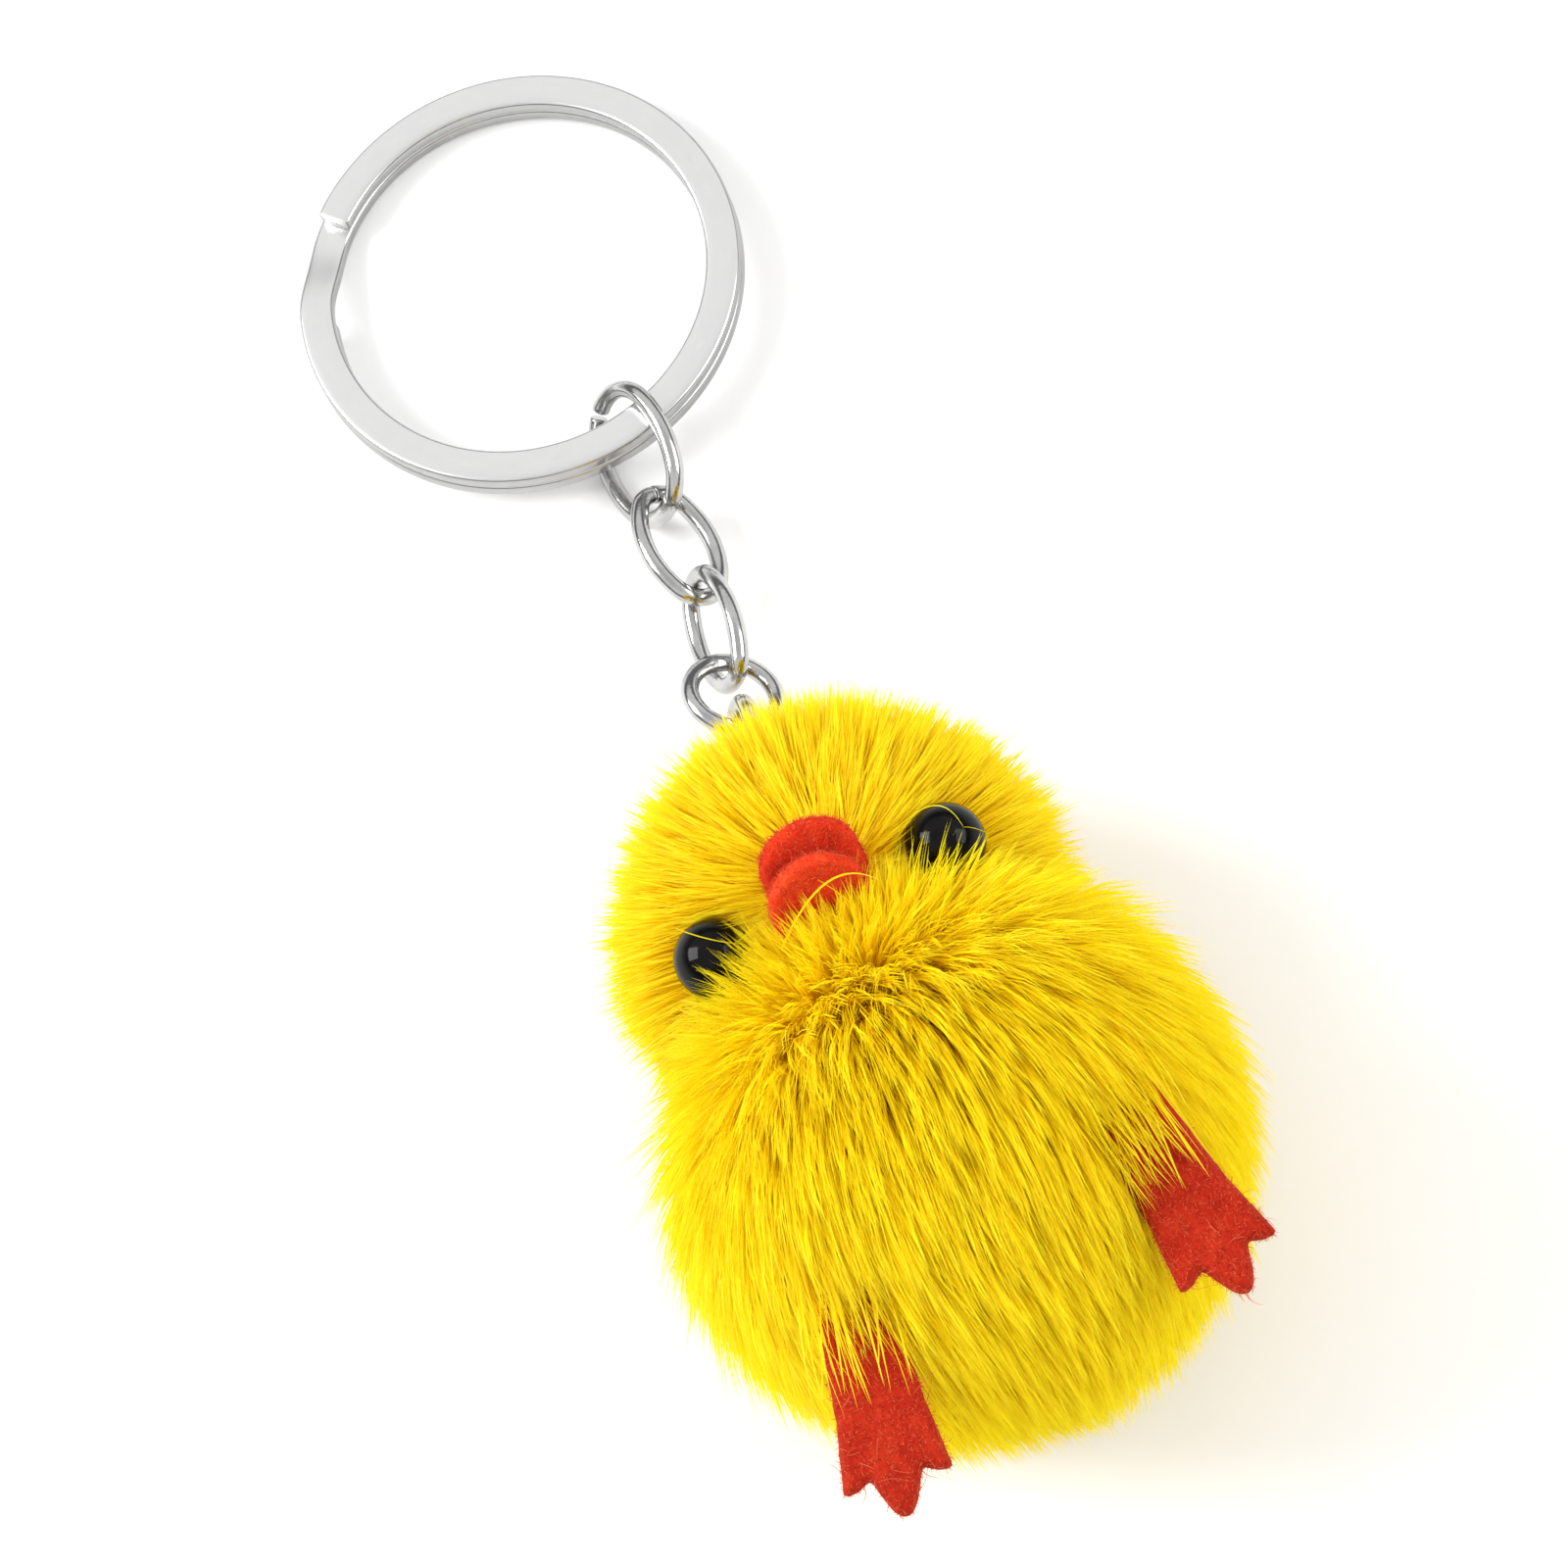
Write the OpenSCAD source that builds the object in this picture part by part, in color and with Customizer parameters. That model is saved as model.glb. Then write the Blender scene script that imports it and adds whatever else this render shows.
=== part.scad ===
// Plush chick keychain: a fur chick on a short chain with a flat split ring.
// The chick lies on its back with its face up (+Z), its feet towards -Y and
// its crown towards +Y, where the chain runs to the ring. Floor at Z = 0.
// All lengths are in millimetres and all angles in degrees.

/* [Split ring] */
// Outside diameter of the flat split ring
ring_od = 30; // [28:0.5:32]
// Radial width of the flat strip the ring is wound from
strip_w = 2.3; // [1.8:0.1:2.4]
// Thickness of one winding
strip_t = 1.08; // [0.8:0.02:1.1]
// Where the ring's centre lies along the length
ring_y = 40.55; // [40.45:0.05:40.65]
// How far the ring leans up over the first link
ring_tilt = 4; // [3:0.25:4.5]

/* [Chain] */
// Wire diameter of the links, the jump ring and the eye pin
wire = 1.2; // [1:0.05:1.25]
// Outside length of the two plain oval links
link_l = 9.6; // [9.4:0.1:9.8]
// Outside width of the two plain oval links
link_w = 6.3; // [6:0.1:6.6]
// Outside length of the opened link on the split ring
end_link_l = 10.4; // [10.2:0.1:10.6]
// Outside width of the opened link on the split ring
end_link_w = 8; // [7.8:0.1:8.2]
// Outside diameter of the jump ring on the eye pin
jump_od = 7; // [6.8:0.1:7.4]
// Cut left between the ends of the opened link
link_cut = 0.5; // [0.2:0.1:0.8]

/* [Head] */
// Radius of the head to the tips of its pile
head_r = 15.4; // [15:0.1:16]
// Height of the head's centre above the floor
head_z = 14; // [13.5:0.1:14.5]
// Radius of the stuffed ball inside the head
head_core_r = 10.7; // [10:0.1:10.9]
// Diameter of each black bead eye
eye_d = 5.1; // [4.4:0.1:5.2]
// Angle of each eye away from the middle of the face
eye_side = 38.5; // [36:0.5:41]
// Width of each bill of the felt beak
bill_w = 6.5; // [6:0.1:7.2]
// Length of each bill from the skin to its tip
bill_l = 6.6; // [6:0.1:7]
// Thickness of the beak felt
bill_t = 1.1; // [0.9:0.05:1.15]

/* [Body] */
// Radius of the body to the tips of its pile
body_r = 18.9; // [18.5:0.1:19.5]
// Height of the body's centre above the floor
body_z = 18.2; // [18:0.1:18.8]
// Radius of the stuffed ball inside the body
body_core_r = 13.3; // [12.5:0.1:13.4]

/* [Feet] */
// Length of a foot from its root on the skin to the middle toe
foot_l = 18.6; // [17:0.1:19.5]
// Width of a foot across its toes
foot_w = 6.9; // [6.2:0.1:7.4]
// Thickness of the foot felt
foot_t = 1.3; // [1:0.1:1.5]

/* [Hidden] */
$fn = 64;
fit = 0.1;
far = 60;

// Lengthwise positions of the soft balls, the neck plane and the chain start
head_y = -15.6;
body_y = -32.8;
neck_y = -20.8;
neck_gap = 0.3;
neck_cone = 4;
neck_hole_r = 4;
neck_wall = 1.1;
head_flat = neck_y - head_y + neck_gap;
body_flat = body_y - neck_y + neck_gap;
thread_r = 0.22;
hook_y = 4.25;
hook_z = 6.75;

// Chain: [yaw, slope down, roll] of each piece, from the eye pin to the ring
pin_slope = atan2(head_z - hook_z, hook_y - head_y);
pin_set = [0, pin_slope, 66];
jump_set = [14, 20, -26];
link3_set = [4, 12, 54];
link2_set = [2, 5, -38];
link1_set = [0, 0, 48];
grip = wire + 0.2;
loop_r = 2;
jump_a = (jump_od - wire) / 2;
link_a = (link_l - wire) / 2;
link_b = (link_w - wire) / 2;
link_end_r = 1.9;
blend_deg = 2;
end_a = (end_link_l - wire) / 2;
end_b = (end_link_w - wire) / 2;
end_link_end_r = 3.1;

// Unit vector along a chain piece, away from the chick
function along(set) = [
    sin(set[0]) * cos(set[1]),
    cos(set[0]) * cos(set[1]),
    -sin(set[1])
];

// Points where each piece hooks round the wire of the piece before it
hook4 = [0, hook_y, hook_z];
hook3 = hook4 + (2 * jump_a - grip) * along(jump_set);
hook2 = hook3 + (2 * link_a - grip) * along(link3_set);
hook1 = hook2 + (2 * link_a - grip) * along(link2_set);

// Split ring: the windings cross over between these two angles
ring_r = ring_od / 2;
ring_x = 0;
winding_gap = 0.06;
cross_from = 134;
cross_to = 162;
cut_deg = 1.6;
ramp_in = 0.03;
ring_z = strip_t + winding_gap / 2 + ring_r * sin(ring_tilt) + 0.02;

// Eye and beak directions seen from the head's centre
eye_lean = 6.5;
eye_seat = head_core_r + 0.2;
eye_out = 12.9;
stem_r = 0.6;
stem_in = 3.6;
washer_r = 2;
washer_t = 0.4;
pin_washer_r = 3;
pin_washer_t = 0.5;
pin_washer_at = 7;
bill_tilt = 31;
bill_open = 2.5;
lower_root = [-0.5, head_y - 3.45, head_z + 10.75];
upper_root = [0, head_y - 1.6, head_z + 11.2];

// Feet: root on the body's skin, turn outwards, droop
left_root = [-8.7, -37.3, 27.8];
right_root = [9.9, -34.5, 28.9];
left_turn = 11.5;
right_turn = 6.5;
foot_droop = 3;
foot_neck_w = 4.4;
foot_clear = 0.35;
foot_swing = 12;

module at(set, point) {
    translate(point)
        rotate([-set[1], 0, -set[0]])
            rotate([0, -set[2], 0])
                children();
}

// One arc of round wire about the origin, from one angle to another
module wire_arc(radius, from, to) {
    rotate([0, 0, from])
        rotate_extrude(angle = to - from)
            translate([radius, 0])
                circle(d = wire);
}

// An oval of wire in the XY plane, longer along Y, built from four tangent arcs
// and parted by a cut in its +Y end arc. The end arcs run a little past the
// tangent points so that they join the side arcs.
module wire_oval(a, b, end_r, cut_at, cut_w) {
    c = a - end_r;
    side_r = (b * b + c * c - end_r * end_r) / (2 * (b - end_r));
    side_half = asin(c / (side_r - end_r));
    end_half = 90 - side_half + blend_deg;
    cut_half = cut_w / end_r * 90 / PI;
    translate([0, c, 0]) {
        wire_arc(end_r, 90 - end_half, cut_at - cut_half);
        wire_arc(end_r, cut_at + cut_half, 90 + end_half);
    }
    translate([0, -c, 0])
        wire_arc(end_r, 270 - end_half, 270 + end_half);
    translate([b - side_r, 0, 0])
        wire_arc(side_r, -side_half, side_half);
    translate([side_r - b, 0, 0])
        wire_arc(side_r, 180 - side_half, 180 + side_half);
}

module chain_link_1() {
    color("silver")
        at(link1_set, hook1 + (end_a - grip) * along(link1_set))
            wire_oval(end_a, end_b, end_link_end_r, 118, link_cut);
}

module chain_link_2() {
    color("silver")
        at(link2_set, hook2 + (link_a - grip) * along(link2_set))
            wire_oval(link_a, link_b, link_end_r, 100, 0.08);
}

module chain_link_3() {
    color("silver")
        at(link3_set, hook3 + (link_a - grip) * along(link3_set))
            wire_oval(link_a, link_b, link_end_r, 105, 0.08);
}

module jump_ring() {
    color("silver")
        at(jump_set, hook4 + (jump_a - grip) * along(jump_set))
            wire_arc(jump_a, -88.5, 268.5);
}

// Eye pin: open loop, straight shank and a flattened end behind its washer
module eye_pin() {
    color("silver")
        at(pin_set, hook4 - loop_r * along(pin_set)) {
            wire_arc(loop_r, -90, 245);
            translate([0, -loop_r, 0])
                sphere(d = wire);
            rotate([90, 0, 0])
                translate([0, 0, loop_r])
                    cylinder(h = pin_reach, d = wire);
            rotate([90, 0, 0])
                translate([0, 0, loop_r + pin_reach])
                    cylinder(h = 0.6, r = 1.1);
        }
}

pin_dist = norm(hook4 - loop_r * along(pin_set) - [0, head_y, head_z]);
pin_reach = pin_dist - loop_r - pin_washer_at + fit;

// Places children on the pin's line, +Z outwards from the head's centre
module on_pin() {
    translate([0, head_y, head_z])
        rotate([-90 - pin_slope, 0, 0])
            children();
}

module pin_washer() {
    color("gainsboro")
        on_pin()
            translate([0, 0, pin_washer_at])
                difference() {
                    cylinder(h = pin_washer_t, r = pin_washer_r);
                    translate([0, 0, -1])
                        cylinder(h = 3, d = wire + 2 * fit);
                }
}

module strip_winding(level, from, to) {
    translate([0, 0, level])
        rotate([0, 0, from])
            rotate_extrude(angle = to - from, $fn = 96)
                translate([ring_r - strip_w, 0])
                    square([strip_w, strip_t]);
}

// Ramp that carries the strip from the lower winding up to the upper one. It is
// a hair thinner and narrower than the windings, so that its ends lie in them.
module strip_cross_over() {
    mid = (cross_from + cross_to) / 2;
    half = (ring_r - strip_w / 2) * sin((cross_to - cross_from) / 2);
    top = strip_t + winding_gap / 2 - ramp_in;
    low = winding_gap / 2 + ramp_in;
    intersection() {
        rotate([0, 0, cross_from - 1])
            rotate_extrude(angle = cross_to - cross_from + 2, $fn = 96)
                translate([ring_r - strip_w + ramp_in, -top])
                    square([strip_w - 2 * ramp_in, 2 * top]);
        rotate([0, 0, mid])
            rotate([90, 0, 90])
                linear_extrude(ring_r + 1)
                    polygon([
                        [-half - 2, -top],
                        [-half * 0.9, -top],
                        [half * 0.9, low],
                        [half + 2, low],
                        [half + 2, top],
                        [half * 0.9, top],
                        [-half * 0.9, -low],
                        [-half - 2, -low]
                    ]);
    }
}

module split_ring() {
    low = winding_gap / 2;
    color("silver")
        translate([ring_x, ring_y, ring_z])
            rotate([-ring_tilt, 0, 0]) {
                strip_winding(low, cross_to - 0.5, cross_from + 360 - cut_deg);
                strip_winding(-low - strip_t, cross_to + cut_deg, cross_from + 360 + 0.5);
                strip_cross_over();
            }
}

module under_floor() {
    translate([-far, -far, -far])
        cube([2 * far, 2 * far, far]);
}

// Half profile of a soft ball about its lengthwise axis, relieved at the neck
// as a shallow cone that starts at height flat below the centre
module ball_half(radius, flat) {
    difference() {
        circle(r = radius);
        translate([-far, -far])
            square([far, 2 * far]);
        polygon([
            [0, -far],
            [far, -far],
            [far, flat + far * tan(neck_cone)],
            [0, flat]
        ]);
    }
}

// Places children at the head's centre, +Z away from the neck
module on_head() {
    translate([0, head_y, head_z])
        rotate([-90, 0, 0])
            children();
}

// Places children at the body's centre, +Z away from the neck
module on_body() {
    translate([0, body_y, body_z])
        rotate([90, 0, 0])
            children();
}

// Fur cover shell: pile outside, room for the stuffing inside, gathered hole
module cover_shell(radius, core_r, flat) {
    rotate_extrude()
        difference() {
            ball_half(radius, flat);
            ball_half(core_r + fit, flat + neck_wall);
            translate([0, flat - 1])
                square([neck_hole_r, 3]);
        }
}

module stuffing_ball(core_r, flat) {
    rotate_extrude()
        ball_half(core_r, flat + neck_wall + fit);
}

module gather_ring(flat) {
    translate([0, 0, flat + 0.7])
        rotate_extrude()
            translate([neck_hole_r - thread_r - 0.04, 0])
                circle(r = thread_r, $fn = 24);
}

// Places children on an eye's line, +Z outwards from the head's centre
module on_eye(side) {
    translate([0, head_y, head_z])
        rotate([eye_lean, 0, 0])
            rotate([0, side * eye_side, 0])
                children();
}

module eye(side) {
    on_eye(side) {
        difference() {
            translate([0, 0, eye_out])
                sphere(d = eye_d);
            translate([-5, -5, eye_seat - 10])
                cube([10, 10, 10]);
        }
        translate([0, 0, eye_seat - stem_in])
            cylinder(h = stem_in + 0.2, r = stem_r);
    }
}

module left_eye() {
    color("black")
        eye(-1);
}

module right_eye() {
    color("black")
        eye(1);
}

// Lock washers pushed on to the eye stems behind the skin
module eye_washers() {
    color("white")
        for (side = [-1, 1])
            on_eye(side)
                translate([0, 0, eye_seat - 1.4])
                    difference() {
                        cylinder(h = washer_t, r = washer_r);
                        translate([0, 0, -1])
                            cylinder(h = 3, r = stem_r + 0.04);
                    }
}

// A tongue of felt standing on its root, rounded at the tip
module bill(root, lean) {
    translate(root)
        rotate([90 - lean, 0, 0])
            translate([0, 0, -bill_t / 2])
                linear_extrude(bill_t) {
                    translate([0, bill_l - bill_w / 2])
                        circle(d = bill_w);
                    translate([-bill_w / 2, 0])
                        square([bill_w, bill_l - bill_w / 2]);
                }
}

// Way through the pile of the head for both bills
module beak_pocket() {
    width = bill_w + 1.1;
    depth = 2 * bill_t + 1.6;
    translate((lower_root + upper_root) / 2)
        rotate([-bill_tilt, 0, 0])
            translate([-width / 2, -depth / 2, -0.8])
                cube([width, depth, bill_l + 2]);
}

module beak_upper() {
    color("orangered")
        bill(upper_root, bill_tilt + bill_open);
}

module beak_lower() {
    color("tomato")
        bill(lower_root, bill_tilt - bill_open);
}

module head_gather_thread() {
    color("gold")
        on_head()
            gather_ring(head_flat);
}

module body_gather_thread() {
    color("gold")
        on_body()
            gather_ring(body_flat);
}

// Fur cover of the head: pelt and pile as one shell round the stuffing
module head_cover() {
    color("yellow")
        difference() {
            on_head()
                cover_shell(head_r, head_core_r, head_flat);
            under_floor();
            for (side = [-1, 1])
                on_eye(side)
                    translate([0, 0, head_core_r - 0.5])
                        cylinder(h = 6, d = eye_d + 2 * fit);
            beak_pocket();
            on_pin()
                cylinder(h = 20, d = wire + 2 * fit);
        }
}

module head_stuffing() {
    color("ivory")
        difference() {
            on_head()
                stuffing_ball(head_core_r, head_flat);
            for (side = [-1, 1])
                on_eye(side) {
                    translate([0, 0, eye_seat - stem_in - fit])
                        cylinder(h = stem_in + 2, r = stem_r + fit);
                    translate([0, 0, eye_seat - 1.4 - fit])
                        cylinder(h = washer_t + 2 * fit, r = washer_r + fit);
                }
            on_pin() {
                translate([0, 0, pin_washer_at - 0.7 - fit])
                    cylinder(h = 0.8 + fit, r = 1.1 + fit);
                translate([0, 0, pin_washer_at - fit])
                    cylinder(h = pin_washer_t + 2 * fit, r = pin_washer_r + fit);
                translate([0, 0, pin_washer_at])
                    cylinder(h = 6, d = wire + 2 * fit);
            }
        }
}

// Outline of a felt foot, root at the origin, toes towards +Y
module foot_outline() {
    toe = foot_w / 2;
    polygon([
        [-foot_neck_w / 2, 0],
        [foot_neck_w / 2, 0],
        [toe * 0.8, foot_l - 7],
        [toe, foot_l - 2.2],
        [toe * 0.45, foot_l - 2.7],
        [toe * 0.16, foot_l - 0.3],
        [0, foot_l],
        [-toe * 0.16, foot_l - 0.3],
        [-toe * 0.45, foot_l - 2.7],
        [-toe, foot_l - 2.2],
        [-toe * 0.8, foot_l - 7]
    ]);
}

module on_foot(root, turn) {
    translate(root)
        rotate([0, 0, 180 - turn])
            rotate([-foot_droop, 0, 0])
                children();
}

module foot(root, turn) {
    on_foot(root, turn)
        translate([0, 0, -foot_t / 2])
            linear_extrude(foot_t)
                foot_outline();
}

// Way left in the pile for a foot to flex up and down about its root
module foot_way(root, turn) {
    half = foot_t / 2 + foot_clear;
    rise = foot_l * tan(foot_swing + 1);
    on_foot(root, turn)
        translate([-foot_w / 2 - foot_clear, 0, 0])
            rotate([90, 0, 90])
                linear_extrude(foot_w + 2 * foot_clear)
                    polygon([
                        [-half, -half],
                        [0, -half],
                        [foot_l, -half - rise],
                        [foot_l, half + rise],
                        [0, half],
                        [-half, half]
                    ]);
}

module left_foot() {
    color("orangered")
        foot(left_root, left_turn);
}

module right_foot() {
    color("orangered")
        foot(right_root, -right_turn);
}

// Fur cover of the body: pelt and pile as one shell round the stuffing
module body_cover() {
    color("yellow")
        difference() {
            on_body()
                cover_shell(body_r, body_core_r, body_flat);
            under_floor();
            foot_way(left_root, left_turn);
            foot_way(right_root, -right_turn);
        }
}

module body_stuffing() {
    color("ivory")
        difference() {
            on_body()
                stuffing_ball(body_core_r, body_flat);
            foot_way(left_root, left_turn);
            foot_way(right_root, -right_turn);
        }
}

split_ring();
chain_link_1();
chain_link_2();
chain_link_3();
jump_ring();
eye_pin();
pin_washer();
head_cover();
head_stuffing();
left_eye();
right_eye();
eye_washers();
beak_upper();
beak_lower();
head_gather_thread();
body_cover();
body_stuffing();
body_gather_thread();
left_foot();
right_foot();
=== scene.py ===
"""Plush chick keychain: the looks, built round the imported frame. All in metres.

Order: frame, named sizes, camera and lights, materials, metal pieces, felt,
eyes, soft fillings and skins, fur, then everything is tied to its CAD body.
"""

import math

import bmesh
import bpy
import numpy as np
from mathutils import Matrix, Vector


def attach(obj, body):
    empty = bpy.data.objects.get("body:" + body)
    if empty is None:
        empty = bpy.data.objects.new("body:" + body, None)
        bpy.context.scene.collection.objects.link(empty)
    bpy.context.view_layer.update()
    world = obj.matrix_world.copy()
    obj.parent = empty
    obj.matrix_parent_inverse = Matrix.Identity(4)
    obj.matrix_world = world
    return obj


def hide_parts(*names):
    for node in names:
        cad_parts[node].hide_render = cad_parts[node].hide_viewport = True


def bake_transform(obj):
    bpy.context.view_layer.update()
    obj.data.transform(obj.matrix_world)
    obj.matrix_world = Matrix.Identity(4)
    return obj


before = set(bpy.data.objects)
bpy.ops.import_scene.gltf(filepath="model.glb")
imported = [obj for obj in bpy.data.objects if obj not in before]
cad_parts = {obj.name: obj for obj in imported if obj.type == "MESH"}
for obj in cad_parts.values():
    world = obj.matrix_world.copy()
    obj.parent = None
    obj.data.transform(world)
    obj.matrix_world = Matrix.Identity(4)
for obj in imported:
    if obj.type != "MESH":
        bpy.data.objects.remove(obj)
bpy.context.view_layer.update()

MM = 0.001
scene = bpy.context.scene


# --- Sizes shared with the CAD, in millimetres and degrees -----------------------
HEAD_C = np.array([0.0, -15.6, 14.0])
BODY_C = np.array([0.0, -32.8, 18.2])
HEAD_CORE = 10.7
BODY_R, BODY_CORE = 18.9, 13.3
NECK_Y = -20.8
WIRE = 1.2
HOOK_4 = np.array([0.0, 4.25, 6.75])
PIN_SLOPE = math.degrees(math.atan2(HEAD_C[2] - HOOK_4[2], HOOK_4[1] - HEAD_C[1]))
LOOP_R = 2.0
GRIP = WIRE + 0.2
RING_TILT = 4.0
RING_R, STRIP_W, STRIP_T, STRIP_EDGE_R = 15.0, 2.3, 1.08, 0.26
TURN_GAP = 0.03  # half the gap between the ring's two turns
RING_RISE = STRIP_T + TURN_GAP + RING_R * math.sin(math.radians(RING_TILT)) + 0.02
RING_C = np.array([0.0, 40.55, RING_RISE])
CROSS_FROM, CROSS_TO, CUT = 134.0, 162.0, 1.6
EYE_SIDE, EYE_LEAN, EYE_OUT, EYE_D, EYE_SEAT = 38.5, 6.5, 12.9, 5.1, 10.9
BILL_W, BILL_L, BILL_T, BILL_TILT, BILL_OPEN = 6.5, 6.6, 1.1, 31.0, 2.5
LOWER_BILL = (np.array([-0.5, -19.05, 24.75]), BILL_TILT - BILL_OPEN)
UPPER_BILL = (np.array([0.0, -17.2, 25.2]), BILL_TILT + BILL_OPEN)
FOOT_L, FOOT_W, FOOT_T, FOOT_NECK_W, FOOT_DROOP = 18.6, 6.9, 1.3, 4.4, 3.0
LEFT_FOOT = (np.array([-8.7, -37.3, 27.8]), 11.5)
RIGHT_FOOT = (np.array([9.9, -34.5, 28.9]), -6.5)


def turn(axis, degrees):
    """Rotation matrix about X, Y or Z as a 3 x 3 array."""
    return np.array(Matrix.Rotation(math.radians(degrees), 3, axis))


def unit(v):
    v = np.asarray(v, float)
    return v / np.maximum(np.linalg.norm(v, axis=-1, keepdims=True), 1e-12)


def chain_turn(yaw, slope, roll):
    return turn("Z", -yaw) @ turn("X", -slope) @ turn("Y", -roll)


def bill_turn(lean):
    return turn("X", 90 - lean)


def foot_turn(yaw):
    return turn("Z", 180 - yaw) @ turn("X", -FOOT_DROOP)


def placed(spin, root):
    """Carries local points to where a felt piece is sewn in."""
    return lambda p: p @ spin.T + root


def add_object(name, data):
    obj = bpy.data.objects.new(name, data)
    scene.collection.objects.link(obj)
    return obj


# --- Camera ----------------------------------------------------------------------
CAM_EL, CAM_ROLL, CAM_DIST, CAM_LENS = 68.6, 26.6, 600.0, 211.4
CAM_AIM = np.array([0.7, 1.0, 0.0])


def make_camera():
    el, roll = math.radians(CAM_EL), math.radians(CAM_ROLL)
    forward = np.array([0, math.cos(el), -math.sin(el)])
    right0, up0 = np.array([1.0, 0, 0]), np.array([0, math.sin(el), math.cos(el)])
    right = math.cos(roll) * right0 - math.sin(roll) * up0
    up = math.sin(roll) * right0 + math.cos(roll) * up0
    place = np.eye(4)
    place[:3, :3] = np.column_stack([right, up, -forward])
    place[:3, 3] = (CAM_AIM - CAM_DIST * forward) * MM
    data = bpy.data.cameras.new("camera")
    data.lens, data.sensor_width = CAM_LENS, 36
    data.clip_start, data.clip_end = 0.01, 10
    scene.camera = add_object("camera", data)
    scene.camera.matrix_world = Matrix(place.tolist())
    return right, up, forward


CAM_RIGHT, CAM_UP, CAM_FORWARD = make_camera()
scene.view_settings.view_transform = "Standard"


LIGHT_AIM = Vector((0, -0.008, 0.012))
BACKDROP = (0.97, 0.97, 0.97, 1)


def area_light(name, direction, distance, size, power):
    """A soft box that looks at the middle of the object from a direction."""
    data = bpy.data.lights.new(name, "AREA")
    data.shape, data.size, data.size_y = "RECTANGLE", size[0], size[1]
    data.energy = power
    obj = add_object(name, data)
    way = Vector(unit(direction))
    obj.location = LIGHT_AIM + way * distance
    obj.rotation_mode = "QUATERNION"
    obj.rotation_quaternion = way.to_track_quat("Z", "Y")


def make_lights():
    """Two soft boxes in a banded pale room. The camera sees a plain backdrop."""
    area_light("key_light", (-0.70, 0.38, 0.64), 0.80, (0.42, 0.42), 5.8)
    area_light("fill_light", (0.75, -0.25, 0.62), 0.80, (0.50, 0.40), 3.0)
    world = bpy.data.worlds.new("studio")
    scene.world = world
    world.use_nodes = True
    nt = world.node_tree
    bands = (
        (0.0, 0.95), (0.10, 0.92), (0.20, 0.20), (0.40, 0.20),
        (0.52, 1.0), (0.86, 1.0), (0.93, 0.80), (1.0, 0.80),
    )
    coord = add_node(nt, "ShaderNodeTexCoord").outputs["Generated"]
    up = add_node(nt, "ShaderNodeSeparateXYZ", {0: coord}).outputs["Z"]
    ramp = add_node(nt, "ShaderNodeValToRGB", {"Fac": up})
    fill_ramp(ramp, [(height, grey(v)) for height, v in bands])
    by_camera = add_node(nt, "ShaderNodeLightPath").outputs["Is Camera Ray"]
    sides = {0: by_camera, 6: ramp.outputs["Color"], 7: BACKDROP}
    seen = add_node(nt, "ShaderNodeMix", sides, data_type="RGBA").outputs[2]
    nt.links.new(seen, nt.nodes["Background"].inputs["Color"])
    nt.nodes["Background"].inputs["Strength"].default_value = 1.0


# --- Node materials --------------------------------------------------------------
def fill_ramp(ramp, stops):
    """Sets a colour ramp's stops from (position, (r, g, b)) pairs."""
    band = ramp.color_ramp
    while len(band.elements) > 1:
        band.elements.remove(band.elements[-1])
    band.elements[0].position = stops[0][0]
    band.elements[0].color = (*stops[0][1], 1)
    for at, colour in stops[1:]:
        band.elements.new(at).color = (*colour, 1)


def add_node(nt, kind, inputs=(), **settings):
    """A node with its settings, and its inputs set or linked by name or index."""
    node = nt.nodes.new(kind)
    for key, value in settings.items():
        setattr(node, key, value)
    for key, value in dict(inputs).items():
        if isinstance(value, bpy.types.NodeSocket):
            nt.links.new(value, node.inputs[key])
        else:
            node.inputs[key].default_value = value
    return node


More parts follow.
